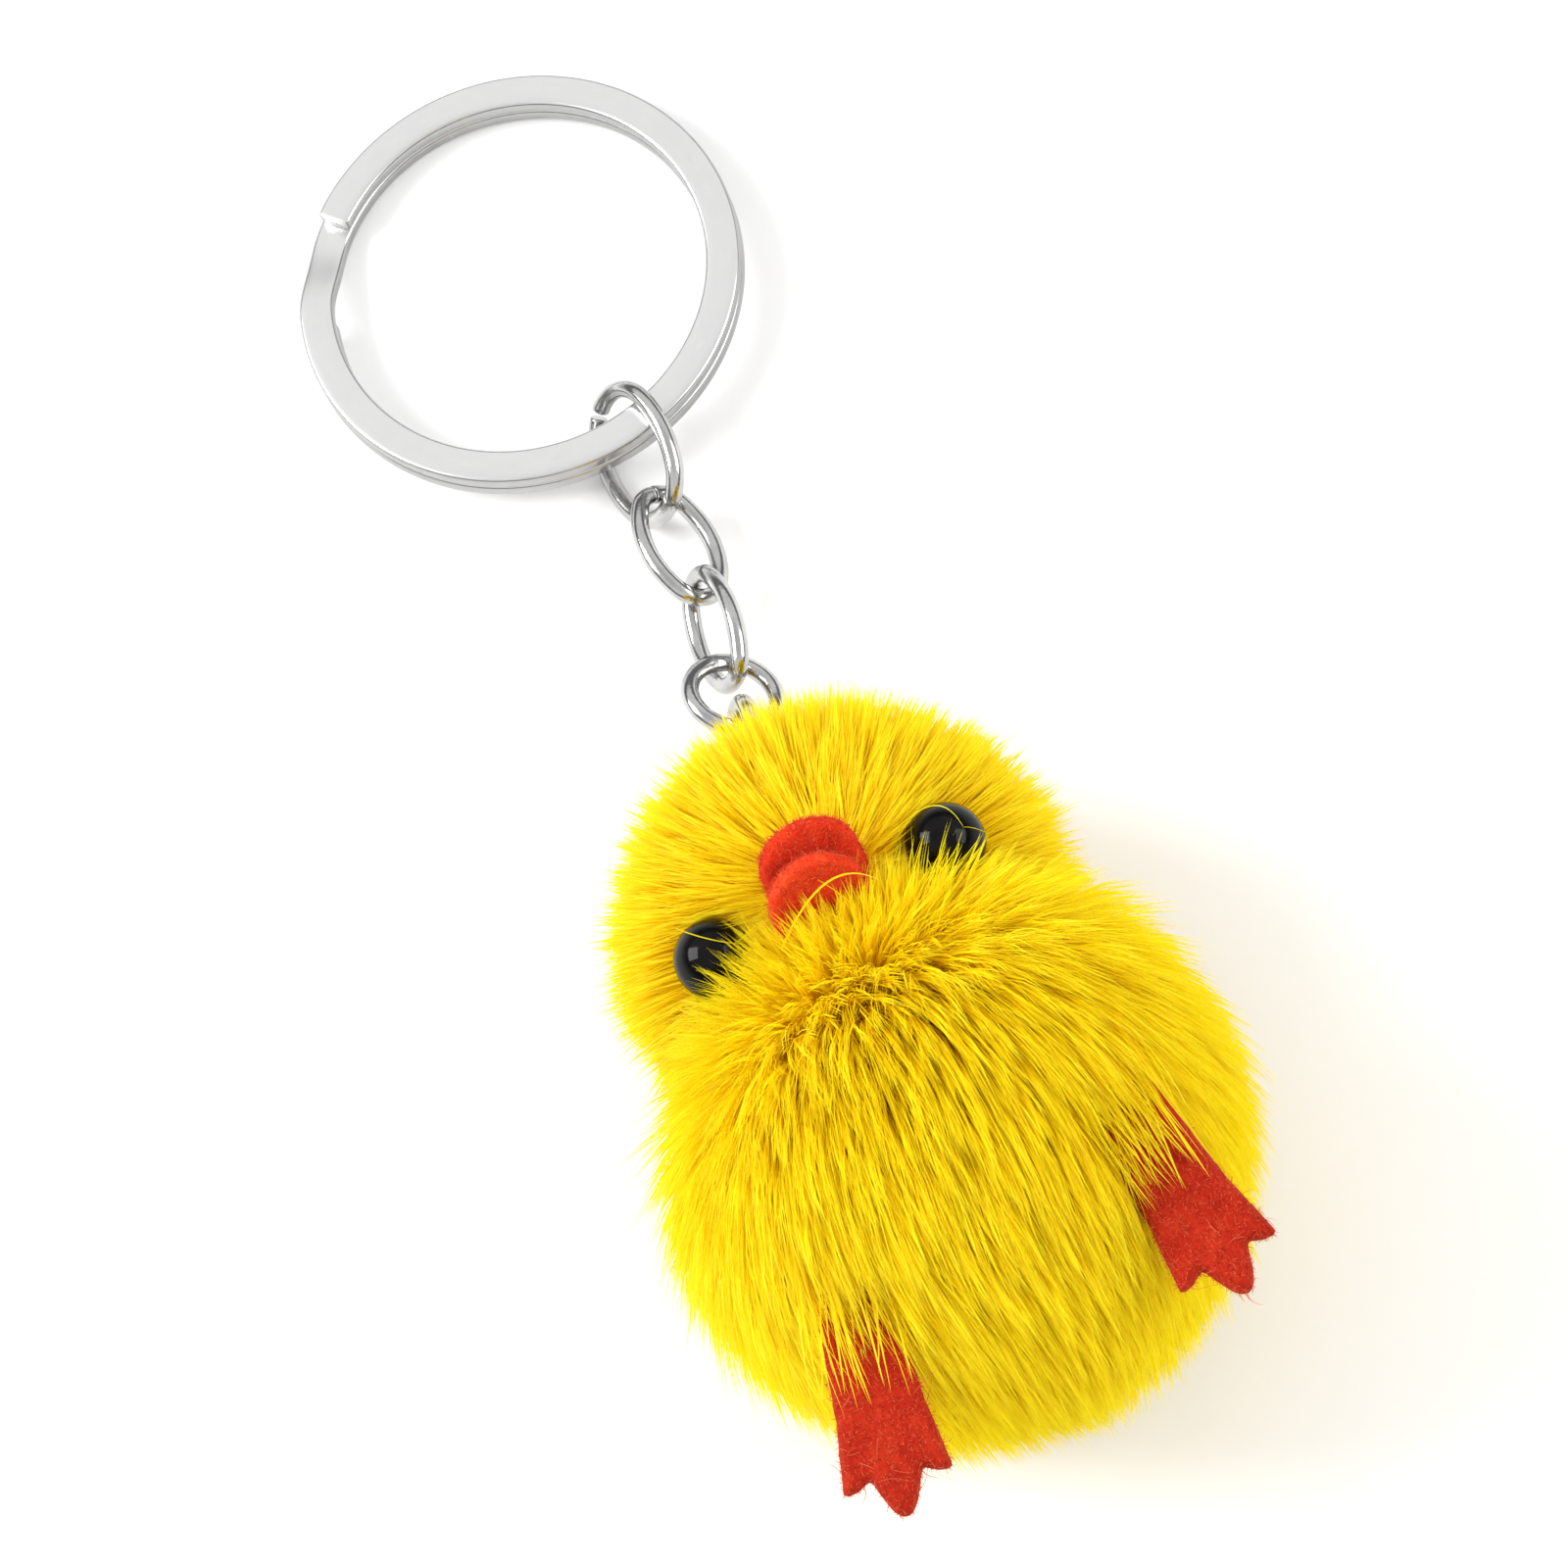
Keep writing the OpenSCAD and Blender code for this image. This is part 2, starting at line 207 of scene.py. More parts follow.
class Shader:
    """A Principled material with short calls for the nodes that feed it."""

    def __init__(self, name, **uniform):
        self.mat = bpy.data.materials.new(name)
        self.mat.use_nodes = True
        self.nt = self.mat.node_tree
        self.main = self.nt.nodes["Principled BSDF"]
        for key, value in uniform.items():
            self.main.inputs[key.replace("_", " ")].default_value = value

    def node(self, kind, inputs=(), **settings):
        return add_node(self.nt, kind, inputs, **settings)

    def link(self, socket, key):
        self.nt.links.new(socket, self.main.inputs[key])

    def coord(self, stretch=(1, 1, 1)):
        source = self.node("ShaderNodeTexCoord").outputs["Object"]
        return self.node("ShaderNodeMapping", {"Vector": source, "Scale": stretch}).outputs[0]

    def uv(self, name, stretch=(1, 1, 1)):
        source = self.node("ShaderNodeUVMap", uv_map=name).outputs[0]
        return self.node("ShaderNodeMapping", {"Vector": source, "Scale": stretch}).outputs[0]

    def noise(self, vector, scale, detail=3.0, rough=0.55):
        inputs = {"Vector": vector, "Scale": scale, "Detail": detail, "Roughness": rough}
        return self.node("ShaderNodeTexNoise", inputs).outputs["Fac"]

    def ramp(self, fac, stops):
        node = self.node("ShaderNodeValToRGB", {"Fac": fac})
        fill_ramp(node, stops)
        return node.outputs["Color"]

    def span(self, value, low, high, new_low, new_high):
        limits = {"From Min": low, "From Max": high, "To Min": new_low, "To Max": new_high}
        return self.node("ShaderNodeMapRange", {"Value": value, **limits}).outputs[0]

    def mix(self, fac, a, b):
        node = self.node("ShaderNodeMix", {0: fac, 6: a, 7: b}, data_type="RGBA")
        return node.outputs[2]

    def bump(self, height, distance, strength):
        inputs = {"Height": height, "Distance": distance, "Strength": strength}
        return self.node("ShaderNodeBump", inputs).outputs[0]

    def finish(self, colour, grain, rough, relief=None, depth=0.0, strength=0.8):
        """Links colour, roughness over the span rough, and a bump of a noise."""
        self.link(colour, "Base Color")
        self.link(self.span(grain, 0.3, 0.7, *rough), "Roughness")
        if relief is not None:
            self.link(self.bump(relief, depth, strength), "Normal")
        return self.mat


def grey(v, blue=1.0):
    return (v, v, v * blue)


def metal(name, light, dark, rough, scale):
    """Plated wire: clouded tone and roughness with a faint drawn grain."""
    s = Shader(name, Metallic=1.0)
    place = s.coord()
    cloud = s.noise(place, scale, 4.0)
    tone = s.ramp(cloud, [(0.3, grey(dark)), (0.7, grey(light, 0.985))])
    fine = s.noise(place, scale * 9, 3.0)
    return s.finish(tone, fine, rough, fine, 0.00002, 0.35)


def strip_metal(name):
    """The ring's strip: satin faces brushed along their length, clouded a little.
    Its UV runs along the strip, from 0 mid-face to 1 at the walls, which carry painted shade."""
    s = Shader(name, Metallic=1.0)
    brush = s.noise(s.uv("Strip", (0.25, 10.0, 1)), 3.0, 4.0, 0.6)
    cloud = s.noise(s.coord(), 260, 3.0)
    tone = s.mix(0.35, brush, cloud)
    face = s.ramp(tone, [(0.3, grey(0.74)), (0.7, grey(0.80, 0.99))])
    # painted shade: the walls are coloured much darker than the faces
    painted_shade_wall = s.ramp(tone, [(0.3, grey(0.36)), (0.7, grey(0.46, 0.99))])
    across = s.node("ShaderNodeSeparateXYZ", {"Vector": s.uv("Strip")}).outputs[1]
    colour = s.mix(s.span(across, 0.84, 0.97, 0.0, 1.0), face, painted_shade_wall)
    return s.finish(colour, brush, (0.20, 0.28), brush, 0.000004, 0.3)


def felt(name, deep, mid, high):
    """Pressed wool felt: mottled colour, matted fibre bump."""
    sheen = {"Sheen_Weight": 0.06, "Sheen_Roughness": 0.5, "Sheen_Tint": (1, 0.5, 0.35, 1)}
    s = Shader(name, Specular_IOR_Level=0.15, **sheen)
    blotch = s.noise(s.coord(), 520, 4.0, 0.6)
    fibre = s.noise(s.coord((1.0, 0.35, 1.0)), 5200, 5.0, 0.7)
    tone = s.mix(0.55, blotch, fibre)
    colour = s.ramp(tone, [(0.32, deep), (0.5, mid), (0.68, high)])
    return s.finish(colour, fibre, (0.82, 1.0), fibre, 0.00012)


def strand_paint(name, low, high, roughness, through):
    """Colour of strands: V runs from root to tip, U picks between two tones. Light
    also comes through a hair from behind, by the share given."""
    s = Shader(name, Roughness=roughness, Specular_IOR_Level=0.22)
    split = s.node("ShaderNodeSeparateXYZ", {"Vector": s.uv("OFBake")})
    dull, bright = s.ramp(split.outputs[1], low), s.ramp(split.outputs[1], high)
    colour = s.mix(split.outputs[0], dull, bright)
    s.link(colour, "Base Color")
    back = s.node("ShaderNodeBsdfTranslucent", {"Color": colour})
    both = s.node("ShaderNodeMixShader", {0: through, 1: s.main.outputs[0], 2: back.outputs[0]})
    s.nt.links.new(both.outputs[0], s.nt.nodes["Material Output"].inputs["Surface"])
    return s.mat


def soft_paint(name, stops, scale, depth):
    """Matted soft surfaces under the fur and inside the chick."""
    s = Shader(name)
    fine = s.noise(s.coord(), scale, 5.0, 0.65)
    return s.finish(s.ramp(fine, stops), fine, (0.8, 1.0), fine, depth)


def bead_paint(name):
    s = Shader(name, Specular_IOR_Level=0.12)
    cloud = s.noise(s.coord(), 900, 3.0)
    black = s.ramp(cloud, [(0.35, grey(0.002)), (0.7, (0.006, 0.005, 0.005))])
    ripple = s.noise(s.coord(), 700, 2.0)
    return s.finish(black, cloud, (0.04, 0.12), ripple, 0.00001, 0.25)


def floor_paint(name):
    s = Shader(name)
    cloud = s.noise(s.coord(), 3, 3.0)
    return s.finish(s.ramp(cloud, [(0.3, grey(0.93)), (0.7, grey(0.96))]), cloud, (0.85, 0.95))


NICKEL = metal("bright_nickel", 0.56, 0.44, (0.08, 0.16), 600)
ZINC = metal("steel_zinc", 0.60, 0.42, (0.30, 0.45), 500)
STRIP = strip_metal("satin_nickel_strip")
BEAD = bead_paint("black_bead")
NYLON = soft_paint("white_nylon", [(0.3, grey(0.72)), (0.7, grey(0.84))], 2000, 0.00002)
FIBRE = soft_paint(
    "stuffing_fibre", [(0.3, grey(0.66, 0.95)), (0.7, grey(0.86, 0.97))], 900, 0.0004
)
PELT = soft_paint("pelt", [(0.3, (0.94, 0.60, 0.003)), (0.7, (0.98, 0.72, 0.006))], 1500, 0.0003)
FELT_RED = felt("red_felt", (0.28, 0.007, 0.002), (0.43, 0.017, 0.004), (0.58, 0.045, 0.014))
# a lighter copy of the red felt for the upper bill: painted light that offsets the shade it sits in
# behind the lower bill
FELT_RED_PAINTED_LIGHT = felt("red_felt_painted_light", (0.52, 0.016, 0.003), (0.72, 0.030, 0.006), (0.86, 0.070, 0.022))
FELT_ORANGE = felt("orange_felt", (0.60, 0.026, 0.005), (0.80, 0.050, 0.011), (0.92, 0.110, 0.034))
THREAD = soft_paint(
    "yellow_thread", [(0.3, (0.60, 0.34, 0.01)), (0.7, (0.85, 0.55, 0.03))], 2500, 0.00005
)
# both fur tones run darker and more orange at the root than at the tip: painted shade deep in the
# fur
FUR = strand_paint(
    "yellow_fur",
    [(0.0, (0.97, 0.64, 0.001)), (0.45, (1.0, 0.735, 0.002)), (1.0, (1.0, 0.82, 0.005))],
    [(0.0, (0.98, 0.71, 0.002)), (0.45, (1.0, 0.86, 0.004)), (1.0, (1.0, 0.96, 0.030))],
    0.50,
    0.46,
)
FUZZ = strand_paint(
    "felt_fuzz",
    [(0.0, (0.45, 0.02, 0.004)), (1.0, (0.66, 0.05, 0.014))],
    [(0.0, (0.62, 0.06, 0.018)), (1.0, (0.92, 0.24, 0.100))],
    0.8,
    0.2,
)


# --- Mesh helpers ----------------------------------------------------------------
def add_mesh(name, points, faces, mat, smooth=True):
    """A mesh object from points in millimetres and faces of any length."""
    mesh = bpy.data.meshes.new(name)
    mesh.from_pydata((np.asarray(points) * MM).tolist(), [], [tuple(map(int, f)) for f in faces])
    mesh.materials.append(mat)
    mesh.validate()
    mesh.update()
    if smooth:
        mesh.polygons.foreach_set("use_smooth", [True] * len(mesh.polygons))
    return add_object(name, mesh)


def get_points(obj):
    """An object's vertex positions as rows of three, in its own units."""
    co = np.empty(len(obj.data.vertices) * 3)
    obj.data.vertices.foreach_get("co", co)
    return co.reshape(-1, 3)


def set_points(obj, points):
    obj.data.vertices.foreach_set("co", points.ravel())


def circle(count):
    a = np.linspace(0, 2 * math.pi, count, endpoint=False)
    return np.column_stack([np.cos(a), np.sin(a)])


def sweep(path, across, up, profile, closed=False):
    """Points and faces of a profile carried along a path. across and up give the
    profile's two axes at each path point; open ends are closed by a fan."""
    n, m = len(path), len(profile)
    points = (
        path[:, None]
        + profile[None, :, :1] * across[:, None]
        + profile[None, :, 1:] * up[:, None]
    ).reshape(-1, 3)
    faces = []
    for i in range(n if closed else n - 1):
        a, b = i * m, (i + 1) % n * m
        for k in range(m):
            l = (k + 1) % m
            faces.append((a + k, a + l, b + l, b + k))
    if not closed:
        for end, order in ((0, 1), (n - 1, -1)):
            centre = len(points)
            points = np.vstack([points, path[end]])
            for k in range(m):
                a, b = end * m + k, end * m + (k + 1) % m
                faces.append((a, b, centre)[:: -order])
    return points, faces


def round_end(path):
    """Scale factors along a wire path that round its two cut ends a little."""
    far = np.linalg.norm(np.diff(path, axis=0), axis=1)
    run = np.concatenate([[0], np.cumsum(far)])
    size = np.ones(len(path))
    for d in (run, run[-1] - run):
        t = np.clip(d / (0.25 * WIRE / 2), 0, 1)
        size *= 0.82 + 0.18 * np.sqrt(1 - (1 - t) ** 2)
    return size


def wire(name, path, mat, sides=20):
    """Round wire along a curved path of millimetre points, with rounded cut ends."""
    ahead = np.roll(path, -1, 0) - np.roll(path, 1, 0)
    ahead[0], ahead[-1] = path[1] - path[0], path[-1] - path[-2]
    ahead = unit(ahead)
    normal = unit(np.cross(path[1] - path[0], path[len(path) // 3] - path[0]))
    side = unit(np.cross(ahead, normal))
    up = unit(np.cross(side, ahead))
    size = (round_end(path) * WIRE / 2)[:, None]
    points, faces = sweep(path, side * size, up * size, circle(sides))
    return add_mesh(name, points, faces, mat)


def arc(radius, start, stop, centre=(0, 0), step=3.0):
    """Points of an arc in the XY plane, angles in degrees."""
    count = max(3, int(abs(stop - start) / step) + 1)
    a = np.radians(np.linspace(start, stop, count))
    return np.column_stack([
        centre[0] + radius * np.cos(a), centre[1] + radius * np.sin(a), np.zeros(count)
    ])


def oval_path(a, b, end_r, cut_at, cut_w):
    """The cut oval of the CAD's links: four tangent arcs from one cut face round
    to the other, anticlockwise."""
    c = a - end_r
    side_r = (b * b + c * c - end_r * end_r) / (2 * (b - end_r))
    half = math.degrees(math.asin(c / (side_r - end_r)))
    cut = math.degrees(cut_w / end_r) / 2
    parts = [
        arc(end_r, cut_at + cut, 180 - half, (0, c)),
        arc(side_r, 180 - half, 180 + half, (side_r - b, 0)),
        arc(end_r, 180 + half, 360 - half, (0, -c)),
        arc(side_r, -half, half, (b - side_r, 0)),
        arc(end_r, half, cut_at - cut, (0, c)),
    ]
    joined = [parts[0]] + [p[1:] for p in parts[1:]]
    return thicken_ends(np.vstack(joined))


def thicken_ends(path):
    """Adds close points at both ends, so that the rounding of the cut shows."""
    first, last = path[0], path[-1]
    lead = [first + (path[1] - first) * t for t in (0.12, 0.3, 0.6)]
    tail = [last + (path[-2] - last) * t for t in (0.6, 0.3, 0.12)]
    return np.vstack([first, lead, path[1:-1], tail, last])


# --- Split ring and chain --------------------------------------------------------
def strip_profile():
    """Section of the strip: soft corners and faintly crowned faces."""
    t, r, crown = STRIP_T / 2, STRIP_EDGE_R, 0.012
    x, y = STRIP_W / 2 - r, t - r
    rows = []
    for cx, cy, start in ((x, y, 0), (-x, y, 90), (-x, -y, 180), (x, -y, 270)):
        for a in np.radians(np.linspace(start, start + 90, 6)):
            rows.append((cx + r * math.cos(a), cy + r * math.sin(a)))
        if start in (0, 180):
            sign = 1 if start == 0 else -1
            for f in (0.6, 0.2, -0.2, -0.6):
                rows.append((sign * f * x, sign * (t + crown * (1 - f * f))))
    return np.array(rows) * [1, 1 / (1 + crown / t)]


def split_ring():
    """One strip wound twice: lower turn, ramp at the crossing, upper turn."""
    start, stop = CROSS_TO + CUT, CROSS_FROM + 720 - CUT
    turns = np.linspace(start, stop, 520)
    close = np.array([0, 0.15, 0.4, 0.8])
    turns = np.concatenate([start + close, turns[1:-1], stop - close[::-1]])
    ramp = np.clip((turns - CROSS_FROM - 360) / (CROSS_TO - CROSS_FROM), 0, 1)
    rise = ramp * ramp * (3 - 2 * ramp)
    level = (2 * rise - 1) * (STRIP_T / 2 + TURN_GAP)
    pull = 0.22 * np.sin(math.pi * ramp) ** 2
    a = np.radians(turns)
    mid = RING_R - STRIP_W / 2 - pull
    radial = np.column_stack([np.cos(a), np.sin(a), np.zeros_like(a)])
    path = np.column_stack([mid * np.cos(a), mid * np.sin(a), level])
    ahead = unit(np.gradient(path, axis=0))
    up = unit(np.cross(radial, ahead))
    from_end = np.clip(np.minimum(turns - start, stop - turns) / 1.1, 0, 1)
    size = 1 - 0.10 * (1 - np.sqrt(1 - (1 - from_end) ** 2))
    profile = strip_profile()
    points, faces = sweep(path, radial * size[:, None], up * size[:, None], profile)
    points = points @ turn("X", -RING_TILT).T + RING_C
    obj = add_mesh("split_ring_strip", points, faces, STRIP)
    m = len(profile)
    uv = obj.data.uv_layers.new(name="Strip")
    index = np.array([l.vertex_index for l in obj.data.loops])
    along = np.append(np.repeat(a * mid, m), [a[0] * RING_R, a[-1] * RING_R])
    around = np.append(np.tile(np.abs(profile[:, 0]) / (STRIP_W / 2), len(a)), [0, 0])
    uv.data.foreach_set("uv", np.column_stack([along[index], around[index]]).ravel())
    return obj


def on_chain(path, setting, point):
    return path @ chain_turn(*setting).T + point


def chain_parts():
    """The opened link, two plain links, the jump ring and the eye pin."""
    sets = {"jump": (14, 20, -26), "three": (4, 12, 54), "two": (2, 5, -38), "one": (0, 0, 48)}
    along = {k: chain_turn(*v) @ np.array([0, 1.0, 0]) for k, v in sets.items()}
    jump_a, link_a, link_b, end_a, end_b = 2.9, 4.2, 2.55, 4.6, 3.4
    hook_3 = HOOK_4 + (2 * jump_a - GRIP) * along["jump"]
    hook_2 = hook_3 + (2 * link_a - GRIP) * along["three"]
    hook_1 = hook_2 + (2 * link_a - GRIP) * along["two"]
    made = {}
    for name, key, hook, a, shape in (
        ("jump_ring", "jump", HOOK_4, jump_a, thicken_ends(arc(jump_a, -88.5, 268.5))),
        ("chain_link_3", "three", hook_3, link_a, oval_path(link_a, link_b, 1.9, 105, 0.08)),
        ("chain_link_2", "two", hook_2, link_a, oval_path(link_a, link_b, 1.9, 100, 0.08)),
        ("chain_link_1", "one", hook_1, end_a, oval_path(end_a, end_b, 3.1, 118, 0.5)),
    ):
        path = on_chain(shape, sets[key], hook + (a - GRIP) * along[key])
        made[name] = wire(f"{name}_wire", path, NICKEL, sides=24)
    pin_set = (0, PIN_SLOPE, 66)
    pin_root = HOOK_4 - LOOP_R * (chain_turn(*pin_set) @ np.array([0, 1.0, 0]))
    shank_end = np.linalg.norm(pin_root - HEAD_C) - 7.0
    straight = -np.linspace(LOOP_R + 0.5, shank_end, 12)
    shank = np.column_stack([np.zeros(12), straight, np.zeros(12)])
    path = np.vstack([arc(LOOP_R, 245, -88, step=4), shank])
    made["eye_pin"] = wire("eye_pin_wire", on_chain(path, pin_set, pin_root), NICKEL)
    return made


# --- Felt pieces -----------------------------------------------------------------
def smooth_outline(points, rounds=2):
    """Corner cutting that turns a closed polygon into a soft outline."""
    p = np.asarray(points, float)
    for _ in range(rounds):
        q = np.roll(p, -1, 0)
        p = np.stack([0.75 * p + 0.25 * q, 0.25 * p + 0.75 * q], 1).reshape(-1, 2)
    return p


def inset(outline, by):
    """A closed outline moved inwards by a small distance."""
    ahead = unit(np.roll(outline, -1, 0) - np.roll(outline, 1, 0))
    out = np.column_stack([ahead[:, 1], -ahead[:, 0]])
    x, y = outline.T
    if np.sum(x * np.roll(y, -1) - np.roll(x, -1) * y) < 0:
        out = -out
    return outline - out * by


def felt_slab(name, outline, thick, cell, shape, place, mat, relief=0.05):
    """A felt piece cut to an outline: a fine grid between two faces, with rounded
    cut edges, matted relief and a gentle bend. shape bends local points."""
    edge = 0.14 * thick
    inner = inset(outline, edge)
    lo, hi = outline.min(0) - cell, outline.max(0) + cell
    bm = bmesh.new()
    ring = [bm.verts.new((x, y, 0)) for x, y in inner]
    bm.faces.new(ring)
    bmesh.ops.triangulate(bm, faces=bm.faces[:])
    for axis in (0, 1):
        for at in np.arange(lo[axis], hi[axis], cell):
            normal = Vector((1, 0, 0)) if axis == 0 else Vector((0, 1, 0))
            geom = bm.verts[:] + bm.edges[:] + bm.faces[:]
            bmesh.ops.bisect_plane(bm, geom=geom, plane_co=normal * at, plane_no=normal)
    bmesh.ops.remove_doubles(bm, verts=bm.verts[:], dist=cell * 0.08)
    bm.verts.index_update()
    flat = np.array([v.co[:2] for v in bm.verts])
    rim = np.array([v.is_boundary for v in bm.verts])
    faces = [[v.index for v in f.verts] for f in bm.faces]
    edges = [(e.verts[0].index, e.verts[1].index) for e in bm.edges if e.is_boundary]
    bm.free()
    far = np.min(np.linalg.norm(flat[:, None] - flat[rim][None], axis=2), axis=1)
    r = thick * 0.42
    t = np.clip(far / r, 0, 1)
    height = thick / 2 * (0.45 + 0.55 * np.sqrt(np.clip(1 - (1 - t) ** 2, 0, 1)))
    count = len(flat)
    points = [*np.column_stack([flat, height]), *np.column_stack([flat, -height])]
    out = {}
    for i in np.where(rim)[0]:
        near = [b if a == i else a for a, b in edges if i in (a, b)]
        tangent = flat[near[0]] - flat[near[-1]] if len(near) > 1 else np.array([1.0, 0])
        normal = unit(np.array([tangent[1], -tangent[0]]))
        near_mid = flat[np.argsort(np.linalg.norm(flat - flat[i], axis=1))[:14]].mean(0)
        if np.dot(normal, flat[i] - near_mid) < 0:
            normal = -normal
        out[i] = len(points)
        points.append([*(flat[i] + normal * edge), 0.0])
    both = faces + [[count + k for k in reversed(f)] for f in faces]
    directed = {pair for f in faces for pair in zip(f, f[1:] + f[:1])}
    for a, b in edges:
        if (a, b) not in directed:
            a, b = b, a
        both.append([b, a, out[a], out[b]])
        both.append([out[b], out[a], count + a, count + b])
    points = np.array(points, float)
    bumps = noise3(points, 1.7, 3) * 0.6 + noise3(points, 4.3, 4) * 0.4
    points[:, 2] += bumps * relief * np.sign(points[:, 2] + 1e-9)
    ragged = np.column_stack([noise3(points, 3.1, 5), noise3(points, 3.3, 6)])
    points[:, :2] += ragged * relief * 0.5
    return add_mesh(name, place(shape(points)), both, mat)


def noise3(p, rate, seed, waves=7):
    """Smooth repeatable noise in about -1 to 1 at points p (any x 3)."""
    maker = np.random.default_rng(seed)
    way = unit(maker.normal(size=(waves, 3))) * rate * maker.uniform(0.6, 1.6, (waves, 1))
    shift = maker.uniform(0, 2 * math.pi, waves)
    return np.sin(np.asarray(p) @ way.T + shift).sum(-1) / math.sqrt(waves) * 0.8


def bill_outline():
    half, straight = BILL_W / 2, BILL_L - BILL_W / 2
    a = np.radians(np.linspace(0, 180, 40))
    tip = np.column_stack([half * np.cos(a), straight + half * np.sin(a)])
    down = [[-half, straight * f] for f in (0.6, 0.3, 0)]
    root = [[half * f, 0] for f in (-0.5, 0, 0.5, 1)]
    return np.vstack([tip, down, root, [[half, straight * f] for f in (0.3, 0.6)]])


def foot_outline():
    toe, neck = FOOT_W / 2, FOOT_NECK_W / 2
    half = [(neck, 0), (neck * 1.04, 4)] + [(toe * part, FOOT_L - back) for part, back in (
        (0.8, 7), (0.93, 4), (1, 2.2), (0.78, 2.25),
        (0.47, 2.75), (0.34, 1.5), (0.20, 0.45), (0.08, 0.06),
    )]
    return np.array(half + [(-x, y) for x, y in reversed(half)])


def dense(points, step):
    """Adds points along a closed outline so that none is further apart."""
    rows = []
    for a, b in zip(points, np.roll(points, -1, 0)):
        n = max(1, int(np.linalg.norm(b - a) / step))
        rows += [a + (b - a) * k / n for k in range(n)]
    return np.array(rows)


def cupped(amount):
    """Bends a bill's sides towards one face and its tip a little the other way."""
    def bend(p):
        q = p.copy()
        q[:, 2] += amount * (p[:, 0] / (BILL_W / 2)) ** 2 - 0.3 * amount * (p[:, 1] / BILL_L) ** 2
        return q
    return bend


def waved(amount, seed):
    """A felt foot that isn't quite flat."""
    def bend(p):
        q = p.copy()
        t = np.clip(p[:, 1] / FOOT_L, 0, 1)
        wave = amount * (np.sin(t * 3.4 + seed) - math.sin(seed)) * t
        q[:, 2] += wave + 0.10 * (p[:, 0] / (FOOT_W / 2)) ** 2 * t
        return q
    return bend


def fuzz(name, obj, count, length, seed, lift=(0.1, 0.7), width=0.035):
    """Loose fibres that stand and curl on a felt piece."""
    maker = np.random.default_rng(seed)
    mesh = obj.data
    mesh.calc_loop_triangles()
    tri = np.array([t.vertices[:] for t in mesh.loop_triangles])
    co = get_points(obj) / MM
    a, b, c = co[tri[:, 0]], co[tri[:, 1]], co[tri[:, 2]]
    normal = np.cross(b - a, c - a)
    area = np.linalg.norm(normal, axis=1)
    pick = maker.choice(len(tri), count, p=area / area.sum())
    u, v = maker.random(count), maker.random(count)
    flip = u + v > 1
    u[flip], v[flip] = 1 - u[flip], 1 - v[flip]
    root = a[pick] + u[:, None] * (b - a)[pick] + v[:, None] * (c - a)[pick]
    n = unit(normal[pick])
    side = unit(np.cross(n, maker.normal(size=(count, 3))))
    size = length * maker.uniform(0.4, 1.2, (count, 1))
    rise = n * size * maker.uniform(*lift, (count, 1))
    curl = np.cross(n, side) * size * maker.uniform(-0.5, 0.5, (count, 1))
    tip = root + side * size + rise
    ctrl = root + rise * 1.2 + side * size * 0.4 + curl + n * 0.04
    widths, tone = width * maker.uniform(0.7, 1.3, count), maker.random(count)
    strands = ribbons(root - n * 0.05, ctrl, tip + n * 0.03, widths, tone, 6, maker)
    return add_strands(name, *strands, FUZZ)


# --- Strands ---------------------------------------------------------------------
def ribbons(root, ctrl, tip, width, tone, segs, maker, bow=None):
    """Tapered curved ribbons. Returns points, face arrays and one UV per point."""
    k = len(root)
    t = np.linspace(0, 1, segs + 1)
    line = (
        (1 - t)[None, :, None] ** 2 * root[:, None]
        + (2 * t * (1 - t))[None, :, None] * ctrl[:, None]
        + (t * t)[None, :, None] * tip[:, None]
    )
    if bow is not None:
        line = bow(line)
    side = unit(np.cross(tip - root, maker.normal(size=(k, 3))))
    half = 0.5 * width[:, None] * (1 - 0.5 * t[None, :segs] ** 2)
    left = line[:, :segs] - side[:, None] * half[:, :, None]
    right = line[:, :segs] + side[:, None] * half[:, :, None]
    points = np.concatenate([np.stack([left, right], 2).reshape(k, 2 * segs, 3), line[:, segs:]], 1)
    per = 2 * segs + 1
    base = (np.arange(k) * per)[:, None]
    steps = [base + np.array([2 * i, 2 * i + 1, 2 * i + 3, 2 * i + 2]) for i in range(segs - 1)]
    quads = np.concatenate(steps, 1).reshape(-1, 4)
    tris = base + np.array([2 * segs - 2, 2 * segs - 1, 2 * segs])
    v = np.append(np.repeat(t[:segs], 2), 1.0)
    uv = np.empty((k, per, 2))
    uv[:, :, 0] = np.clip(tone, 0.01, 0.99)[:, None]
    uv[:, :, 1] = np.clip(v, 0.01, 0.99)[None]
    return points.reshape(-1, 3), (quads, tris), uv.reshape(-1, 2)


def add_strands(name, points, faces, uv, mat):
    """One mesh of all the ribbons. Its UV layer carries what the colour needs."""
    quads, tris = faces
    mesh = bpy.data.meshes.new(name)
    mesh.vertices.add(len(points))
    mesh.vertices.foreach_set("co", (points * MM).astype(np.float32).ravel())
    corners = np.concatenate([quads.ravel(), tris.ravel()]).astype(np.int32)
    starts = [np.arange(len(quads)) * 4, len(quads) * 4 + np.arange(len(tris)) * 3]
    starts = np.concatenate(starts).astype(np.int32)
    mesh.loops.add(len(corners))
    mesh.loops.foreach_set("vertex_index", corners)
    mesh.polygons.add(len(starts))
    mesh.polygons.foreach_set("loop_start", starts)
    mesh.polygons.foreach_set("use_smooth", np.ones(len(starts), bool))
    mesh.update(calc_edges=True)
    layer = mesh.uv_layers.new(name="OFBake")
    layer.data.foreach_set("uv", uv[corners].astype(np.float32).ravel())
    mesh.materials.append(mat)
    return add_object(name, mesh)


# --- Eyes ------------------------------------------------------------------------
def eye_turn(side):
    return turn("X", EYE_LEAN) @ turn("Y", side * EYE_SIDE)


